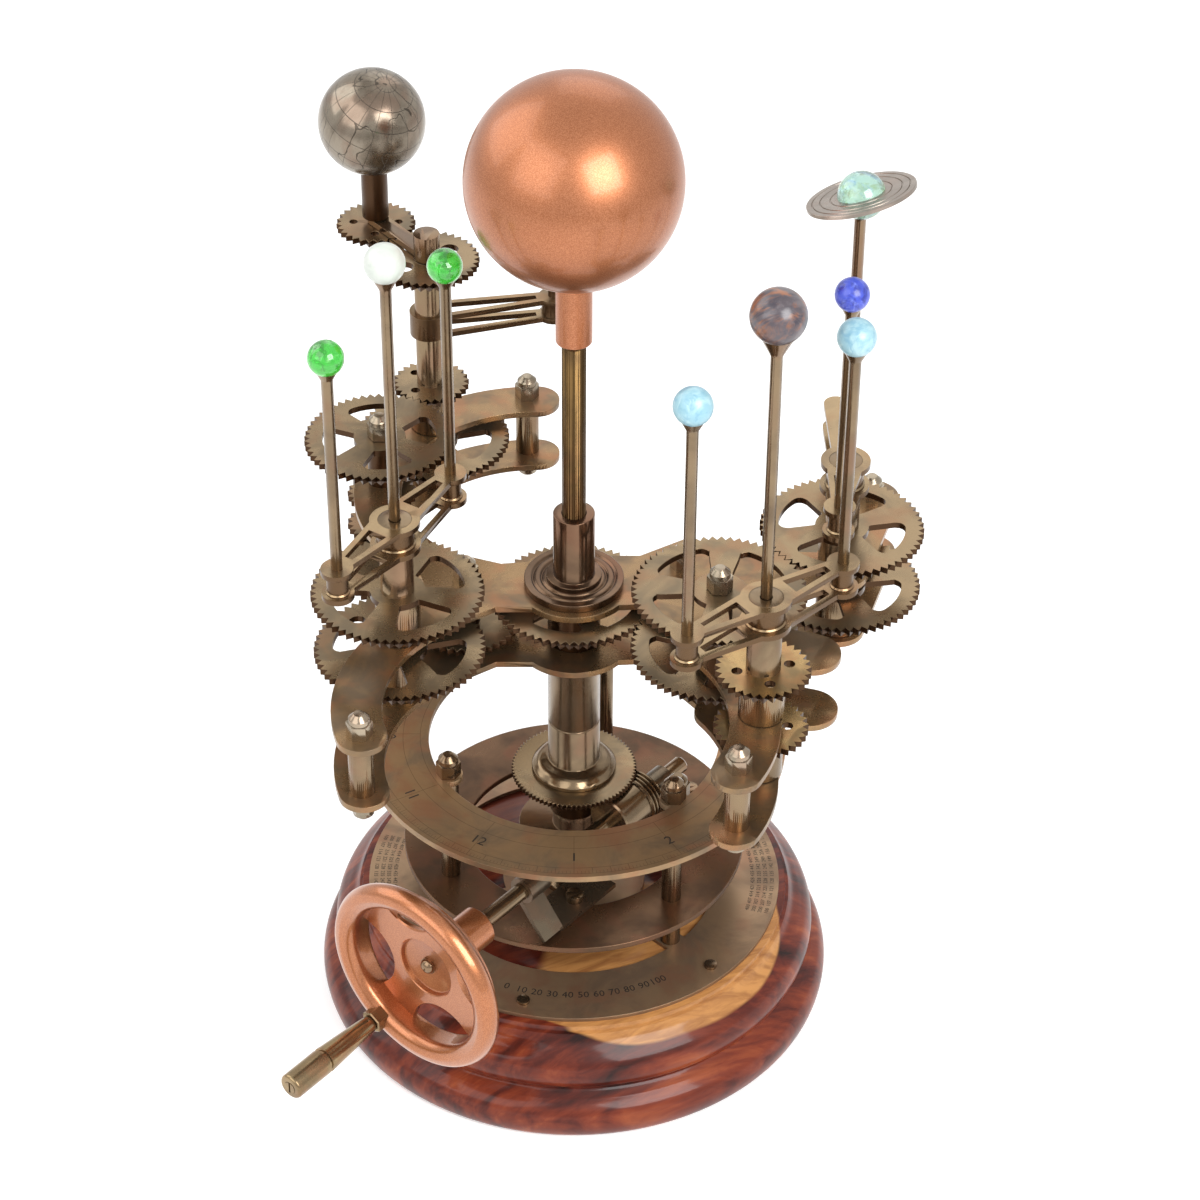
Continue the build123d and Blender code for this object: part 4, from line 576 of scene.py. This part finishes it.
def bent_strip(name, path, station, width, finish):
    """Strip of even thickness: a path across the shaft, offset both ways along its normals, over a width along it."""
    path = np.asarray(path, float)
    along = np.gradient(path, axis=0)
    normal = np.column_stack([-along[:, 1], along[:, 0]]) / np.linalg.norm(along, axis=1)[:, None]
    sides = [path + normal * strip / 2, path - normal * strip / 2]
    ends = (station - width / 2, station + width / 2)
    corners = [(sides[0], ends[0]), (sides[0], ends[1]), (sides[1], ends[1]), (sides[1], ends[0])]
    rows = np.stack([
        crank_foot + end * crank_axis + side[:, :1] * crank_side + side[:, 1:] * np.array((0, 0, 1)) for side, end in corners
    ], 1)
    rows = np.concatenate([rows[:1].mean(1, keepdims=True).repeat(4, 1), rows, rows[-1:].mean(1, keepdims=True).repeat(4, 1)])
    return seated(skin(name, rows, finish), "shaft_bearings")


loop_radius = 0.0041 + strip / 2
foot_corner = np.array((0.013, disc_top + strip / 2))
corner_turn = np.arctan2(foot_corner[1], foot_corner[0])
leave = corner_turn - np.arccos(loop_radius / np.linalg.norm(foot_corner)) + 2 * pi
loop = np.linspace(leave - 1.97 * pi, leave, 60)
leg = np.linspace(0, 1, 9)[1:, None] * (foot_corner - loop_radius * np.array((cos(leave), sin(leave))))
bearing_path = np.vstack([
    loop_radius * np.column_stack([np.cos(loop), np.sin(loop)]),
    loop_radius * np.array((cos(leave), sin(leave))) + leg,
])
foot_line = np.column_stack([np.linspace(0.0138, -0.005, 12), np.full(12, disc_top + strip / 2)])
for place, station, foot_length in (("front", -0.062, 0.040), ("rear", 0.0285, 0.028)):
    bent_strip(place + "_bearing_loop", bearing_path, station, 0.013, strap_bronze)
    bent_strip(place + "_bearing_foot", foot_line, station + 0.0045 + foot_length / 2, foot_length, strap_bronze)

# Carriage
# The drive wheel, the column and two wing plates held apart by pillars; the plates are warm brown brass.
wing_brass, _ = aged("wing_brass", (0.28, 0.175, 0.085), (0.165, 0.115, 0.07), (0.30, 0.145, 0.07), 0.28, 0.8)
# Painted shade colour for the upright faces of the wheels, mixed in by face direction alone.
gear_upright_shade = (0.060, 0.030, 0.014)
gear_brass, _ = aged("gear_brass", (0.262, 0.186, 0.104), (0.165, 0.125, 0.078), (0.25, 0.145, 0.078), 0.27, 0.88, 30, gear_upright_shade)
# Painted shade colour for the upright edges of the arms, mixed in by face direction alone.
arm_upright_shade = (0.115, 0.068, 0.036)
arm_brass, _ = aged("arm_brass", (0.315, 0.225, 0.125), (0.21, 0.15, 0.09), (0.29, 0.17, 0.09), 0.24, 0.92, 30, arm_upright_shade)
sleeve_bronze, _ = aged("sleeve_bronze", (0.165, 0.100, 0.060), (0.100, 0.062, 0.038), (0.150, 0.075, 0.045), 0.15, cloud=24)
yellow_brass, _ = aged("yellow_brass", (0.40, 0.265, 0.115), (0.24, 0.165, 0.08), (0.34, 0.185, 0.082), 0.27, 0.9, 60, gear_upright_shade)
nut_bronze, _ = aged("nut_bronze", (0.34, 0.285, 0.21), (0.20, 0.165, 0.12), (0.30, 0.21, 0.15), 0.2, cloud=60)
for node in ("column", "plate_pillars", "idler_studs", "centre_rods"):
    rim_copy(node, dark_bronze, 0.0003)
for node in ("grooved_disc", "top_sleeve"):
    rim_copy(node, sleeve_bronze, 0.0003)
rim_copy("pillar_nuts", nut_bronze, 0.0003)
for node in ("lower_plate", "upper_plate"):
    rim_copy(node, wing_brass, 0.0004)
for node in ("drive_wheel", "sun_gear", "transfer_gear", "rear_idler", "globe_post"):
    rim_copy(node, gear_brass, 0.0002)

# Pierced wheels
# Planet wheels are cut from plate: four windows with round outer corners leave four spokes, or four holes are drilled.
window_hub, spoke_root, spoke_tip, window_corner = 0.0120, 0.0036, 0.0090, 0.0045


def windows(turn, pitch_radius, middle):
    """Inner and outer edge of the openings at each angle.

    The inner edge follows the hub circle or the straight side of the spoke, whichever lies further out,
    and the outer edge is a circle inside the teeth that drops by a quarter round next to the spoke.
    """
    reach = pitch_radius - 0.0072
    from_spoke = abs((turn - middle) % (pi / 2) - pi / 4)
    slope = (spoke_tip - spoke_root) / (pitch_radius - window_hub / 2)
    rise = np.sin(from_spoke) - slope * np.cos(from_spoke)
    side = np.where(rise > 0, (spoke_root - slope * window_hub / 2) / np.maximum(rise, 1e-9), reach)
    inner = (window_hub**16 + np.minimum(side, reach) ** 16) ** (1 / 16)
    meet = from_spoke[side < reach].min()
    along = np.clip((from_spoke - meet) * reach / window_corner, 0, 1)
    outer = reach - window_corner * (1 - np.sqrt(1 - (1 - along) ** 2))
    return inner, outer


def holes(turn, pitch_radius, middle, circle, radius):
    """Inner and outer edge of four round holes: circle cos u -+ sqrt(radius^2 - (circle sin u)^2)."""
    u = (turn - middle + pi / 4) % (pi / 2) - pi / 4
    half = np.sqrt(np.clip(radius**2 - (circle * np.sin(u)) ** 2, 0, None))
    return circle * np.cos(u) - half, circle * np.cos(u) + half


def pierced_wheel(centre, low, high, turn, teeth, bore, inner, outer):
    """Vertices and faces of a toothed disc whose openings lie between two radii that change with the angle."""
    middle = (inner + outer) / 2
    is_open = outer - inner > 1e-6
    radii = np.stack([np.full_like(turn, bore), np.where(is_open, inner, middle), np.where(is_open, outer, middle), teeth])
    ring = np.column_stack([np.cos(turn), np.sin(turn)])
    plan = centre + radii[:, :, None] * ring
    points = np.concatenate([
        np.dstack([plan, np.full(radii.shape, level)]).reshape(-1, 3) for level in (low, high)
    ])
    count = len(turn)
    index = np.arange(8 * count).reshape(2, 4, count)
    after = np.roll(index, -1, 2)
    beside = is_open | np.roll(is_open, -1)
    flats = [np.stack([index[k, a], after[k, a], after[k, b], index[k, b]], -1) for k in (0, 1) for a, b in ((0, 1), (2, 3))]
    walls = [np.stack([index[0, a], after[0, a], after[1, a], index[1, a]], -1) for a in range(4)]
    faces = flats + [walls[0], walls[1][beside], walls[2][beside], walls[3]]
    return points, np.concatenate(faces)


def wheels_of(node, finish, openings):
    """A node's wheels cut again from their own tooth outlines, each with its openings, and its sleeve between them."""
    mesh = frame["nodes"][node].data
    co = np.zeros(len(mesh.vertices) * 3)
    mesh.vertices.foreach_get("co", co)
    co = np.unique(co.reshape(-1, 3).round(6), axis=0)
    centre = (co.max(0) + co.min(0))[:2] / 2
    reach = np.hypot(*(co[:, :2] - centre).T)
    rim = co[reach > reach.max() - 0.004]
    centre = rim[:, :2].mean(0)
    reach = np.hypot(*(co[:, :2] - centre).T)
    levels = np.unique(co[reach > 0.009, 2].round(5))
    made_points, made_faces = [], []
    for low, high, opening in zip(levels[::2], levels[1::2], openings):
        here = (abs(co[:, 2] - high) < 2e-5) & (reach > 0.009)
        outline = co[here & (reach > reach[here].max() - 0.004), :2] - centre
        tooth_turn = np.arctan2(outline[:, 1], outline[:, 0])
        order = np.argsort(tooth_turn)
        turn = np.unique(np.concatenate([tooth_turn, np.linspace(-pi, pi, 300, endpoint=False)]).round(5))
        teeth = np.interp(turn, tooth_turn[order], np.hypot(*outline[order].T), period=2 * pi)
        bore = reach[abs(co[:, 2] - high) < 2e-5].min()
        pitch_radius = teeth.max() - 0.0012
        solid = np.full_like(turn, (bore + pitch_radius) / 2)
        inner, outer = (solid, solid) if opening is None else opening[0](turn, pitch_radius, *opening[1:])
        points, faces = pierced_wheel(centre, low, high, turn, teeth, bore, inner, outer)
        made_faces.append(faces + sum(map(len, made_points)))
        made_points.append(points)
    points, faces = np.concatenate(made_points), np.concatenate(made_faces)
    between = co[(reach > 0.0055) & (reach < 0.009)]
    if bore < 0.005 and len(between):
        sleeve_radius = np.hypot(*(between[:, :2] - centre).T).max()
        foot, head = between[:, 2].min(), between[:, 2].max()
        sleeve = lathe((*centre, 0), (0, 0, 1), [(bore, foot), (sleeve_radius, foot), (sleeve_radius, head), (bore, head),
                                                 (bore, foot)], 64)
        seated(skin(node + "_sleeve", sleeve, finish), node)
    mesh = bpy.data.meshes.new(node + "_wheels")
    mesh.from_pydata(points.tolist(), [], faces.tolist())
    piece = settled(node + "_wheels", mesh, finish)
    bevel = piece.modifiers.new("broken_edges", "BEVEL")
    bevel.width = 0.00018
    bevel.segments = 2
    bevel.limit_method = "ANGLE"
    bevel.angle_limit = radians(40)
    return seated(piece, node)


for node, finish, openings in (
    ("left_gears", gear_brass, [(windows, radians(70)), (windows, radians(30))]),
    ("right_idler", gear_brass, [(windows, radians(16)), (windows, radians(38))]),
    ("far_gears", gear_brass, [(windows, radians(63)), (windows, radians(66))]),
    ("rear_cluster", gear_brass, [None, None, (windows, radians(12))]),
    ("earth_wheel", gear_brass, [(windows, radians(71))]),
    ("earth_gears", gear_brass, [(holes, radians(48), 0.0105, 0.0021), (holes, radians(37), 0.0127, 0.0042)]),
    ("right_pinions", yellow_brass, [(holes, radians(-5), 0.0115, 0.0024), (holes, radians(12), 0.0115, 0.0024)]),
):
    wheels_of(node, finish, openings)

# Tubes, arms and rods
# Planet tubes turn on the centre rods; flat pierced bars clamp the outer rods in bosses.
for node in ("left_tube", "right_tube", "far_tube", "earth_tube", "earth_spindle", "left_rods", "right_rods", "far_rod"):
    rim_copy(node, dark_bronze, 0.0002)
rim_copy("long_arm", arm_brass, 0.00025)


def axes_of(node):
    """Plan position of each upright rod or tube in a node: one at its middle, or two at opposite corners."""
    low, high = (np.array(corner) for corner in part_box(node))
    mesh = frame["nodes"][node].data
    co = np.zeros(len(mesh.vertices) * 3)
    mesh.vertices.foreach_get("co", co)
    co = co.reshape(-1, 3)
    if max(high[:2] - low[:2]) < 0.03:
        return [(low[:2] + high[:2]) / 2]
    behind = co[:, 1] > (low[1] + high[1]) / 2
    return [(co[half, :2].max(0) + co[half, :2].min(0)) / 2 for half in (behind, ~behind)]


def arm_plate(name, node, finish, level, side):
    """The part of a CAD arm under (side -1) or over (side 1) a level, with the cut closed again."""
    work = bmesh.new()
    work.from_mesh(frame["nodes"][node].data)
    bmesh.ops.remove_doubles(work, verts=work.verts, dist=1e-6)
    cut = bmesh.ops.bisect_plane(
        work, geom=[*work.verts, *work.edges, *work.faces], plane_co=(0, 0, level), plane_no=(0, 0, 1),
        clear_outer=side < 0, clear_inner=side > 0,
    )
    edges = [item for item in cut["geom_cut"] if isinstance(item, bmesh.types.BMEdge)]
    bmesh.ops.triangle_fill(work, edges=edges, use_beauty=True)
    mesh = bpy.data.meshes.new(name)
    work.to_mesh(mesh)
    work.free()
    piece = settled(name, mesh, finish)
    bevel = piece.modifiers.new("broken_edges", "BEVEL")
    bevel.width = 0.0003
    bevel.segments = 2
    bevel.limit_method = "ANGLE"
    bevel.angle_limit = radians(40)
    seated(piece, node)


def spooled_arm(node, finish, posts):
    """Two flat plates cut from a CAD arm, held apart by a waisted spool round each post."""
    low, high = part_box(node)
    plate = 0.0026
    under, over = low.z + plate, high.z - plate
    arm_plate(node + "_lower_plate", node, finish, under + 1e-5, -1)
    arm_plate(node + "_upper_plate", node, finish, over - 1e-5, 1)
    for place, (post, bore, neck) in enumerate(posts):
        spool = [(bore, under - 0.001), (neck, under - 0.001), (neck, under + 0.0006), (neck - 0.0006, under + 0.0012),
                 (neck - 0.0006, over - 0.0012), (neck, over - 0.0006), (neck, over + 0.001), (bore, over + 0.001),
                 (bore, under - 0.001)]
        seated(skin(f"{node}_spool_{place + 1}", lathe((*post, 0), (0, 0, 1), spool, 48), finish), node)


for node, hub, rods in (("left_arm", "left_tube", "left_rods"), ("right_arm", "right_tube", "right_rods"),
                        ("far_arm", "far_tube", "far_rod")):
    spooled_arm(node, arm_brass, [(axes_of(hub)[0], 0.0074, 0.0089), *[(rod, 0.0025, 0.0053) for rod in axes_of(rods)]])
rim_copy("small_ball", dark_bronze, 0)

# Planet balls
# Polished stones and glass marbles pressed into the cups.
def stone(name, ground, veins, scale, cover, roughness=0.28, coat=0.25, stretch=(1, 1, 1), **constants):
    """Polished stone or marble: vein colours laid over a ground by distorted noise, with a fine mottle."""
    finish = Finish(name, Coat_Weight=coat, Coat_Roughness=roughness * 0.6, Roughness=roughness, **constants)
    colour = ground
    for step, vein in enumerate(veins):
        where = finish.place(centre=(0.13 * step, 0.07, 0.02), turn=(0.5, 0.6, 0.3), scale=stretch)
        drift = finish.noise(where, scale * (1 + 0.6 * step), 5, 0.65, 1.2)
        colour = finish.mixed(drift.clipped(cover - 0.04, cover + 0.16), colour, vein)
    finish.feed(Base_Color=colour)
    return finish


white_stone = stone("white_stone", (0.60, 0.645, 0.59), [(0.66, 0.69, 0.64), (0.55, 0.60, 0.54)], 40, 0.5)
brown_stone = stone("brown_stone", (0.075, 0.060, 0.070), [(0.13, 0.11, 0.12), (0.28, 0.105, 0.045), (0.045, 0.037, 0.05)], 38, 0.5,
                    stretch=(1, 0.5, 1.6))
green_glass = stone("green_glass", (0.05, 0.56, 0.05), [(0.004, 0.04, 0.01), (0.26, 0.80, 0.22)], 90, 0.56, 0.04, 0.5,
                    Transmission_Weight=0.6, IOR=1.5)
sky_stone = stone("sky_stone", (0.27, 0.48, 0.56), [(0.40, 0.60, 0.64), (0.20, 0.40, 0.52)], 90, 0.5)
blue_stone = stone("blue_stone", (0.05, 0.08, 0.52), [(0.20, 0.26, 0.76), (0.02, 0.03, 0.26)], 120, 0.52)
clear_glass = stone("clear_glass", (0.46, 0.70, 0.58), [(0.30, 0.46, 0.16), (0.22, 0.44, 0.66)], 60, 0.52, 0.03, 0.5,
                    Transmission_Weight=0.65, IOR=1.5)
for node, finish in (("white_ball", white_stone), ("brown_ball", brown_stone), ("blue_ball", blue_stone)):
    ball_of(node, finish)
ball_of("ringed_ball", clear_glass, growth=1.24)


def pair_of_balls(node, finish):
    """Two fine balls, each a mesh of its own, at the opposite corners of the node's box."""
    mesh = frame["nodes"][node].data
    co = np.zeros(len(mesh.vertices) * 3)
    mesh.vertices.foreach_get("co", co)
    co = co.reshape(-1, 3)
    along = co[:, 1] > co[:, 1].mean()
    radius = (co[:, 2].max() - co[:, 2].min()) / 2
    rows = [sphere_rows((co[half].max(0) + co[half].min(0)) / 2, radius, 40, 80) for half in (along, ~along)]
    first = skin(node + "_a", rows[0], finish)
    second = skin(node + "_b", rows[1], finish)
    for made in (first, second):
        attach(made, body_of_node[node])
    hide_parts(node)
    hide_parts(node)


pair_of_balls("green_balls", green_glass)
pair_of_balls("sky_balls", sky_stone)

# Ring planet
# A thin bronze disc with turned grooves round a glass ball, tipped to one side and towards the back.
ring_low, ring_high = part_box("planet_ring")
ring_bore, ring_reach, ring_half = 0.0101, 0.0236, 0.0008
ring_normal = np.array((-0.26, 0.21, 0.94))
groove = [
    (radius + step, ring_half - cut) for radius in (0.0128, 0.0172, 0.0206)
    for step, cut in ((0, 0), (0.0002, 0.0004), (0.0005, 0.0004), (0.0007, 0))
]
ring_profile = [(ring_bore, -ring_half), (ring_bore, ring_half), *groove, (ring_reach - 0.0003, ring_half),
                (ring_reach, ring_half - 0.0003), (ring_reach, -ring_half), (ring_bore, -ring_half)]
ring_metal, _ = aged("ring_metal", (0.38, 0.325, 0.28), (0.28, 0.24, 0.205), (0.36, 0.28, 0.235), 0.26, 0.85, 40)
seated(skin("grooved_ring", lathe(np.array((ring_low + ring_high) / 2), ring_normal / np.linalg.norm(ring_normal),
                                  ring_profile, 96), ring_metal), "planet_ring")

# Globe
# A hollow bronze ball engraved with meridians, parallels and free coast lines.
globe_low, globe_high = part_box("globe")
globe_centre = (globe_low + globe_high) / 2
globe_radius = (globe_high.z - globe_low.z) / 2
globe_bronze, globe_colour = aged("globe_bronze", (0.27, 0.23, 0.18), (0.15, 0.122, 0.092), (0.22, 0.155, 0.115), 0.2, cloud=40)
where = globe_bronze.place(centre=tuple(globe_centre), turn=(0.35, 0.2, 0.4))
east, north, up = globe_bronze.axes(where)
longitude = east.math("ARCTAN2", north) / (2 * pi) + 0.5
latitude = (up / globe_radius).math("ARCSINE") / pi + 0.5
level = (east * east + north * north) ** 0.5
coast = globe_bronze.noise(where, 46, 2.5, 0.5, 0.3)
lines = (
    divisions(longitude, level, 16, 0.003, 0.03, 0.00022)
    + (1 - ((latitude * 8).math("FRACT") - 0.5).math("ABSOLUTE").clipped(0.010, 0.024))
    + (1 - (coast - 0.5).math("ABSOLUTE").clipped(0.0035, 0.0075))
).clipped(0.1, 0.9)
globe_bronze.feed(Base_Color=globe_bronze.mixed(lines * 0.8, globe_colour, (0.05, 0.04, 0.03)))
globe_bronze.relief(1 - lines, 0.0004, 0.5)
ball_of("globe", globe_bronze, 72, 128)
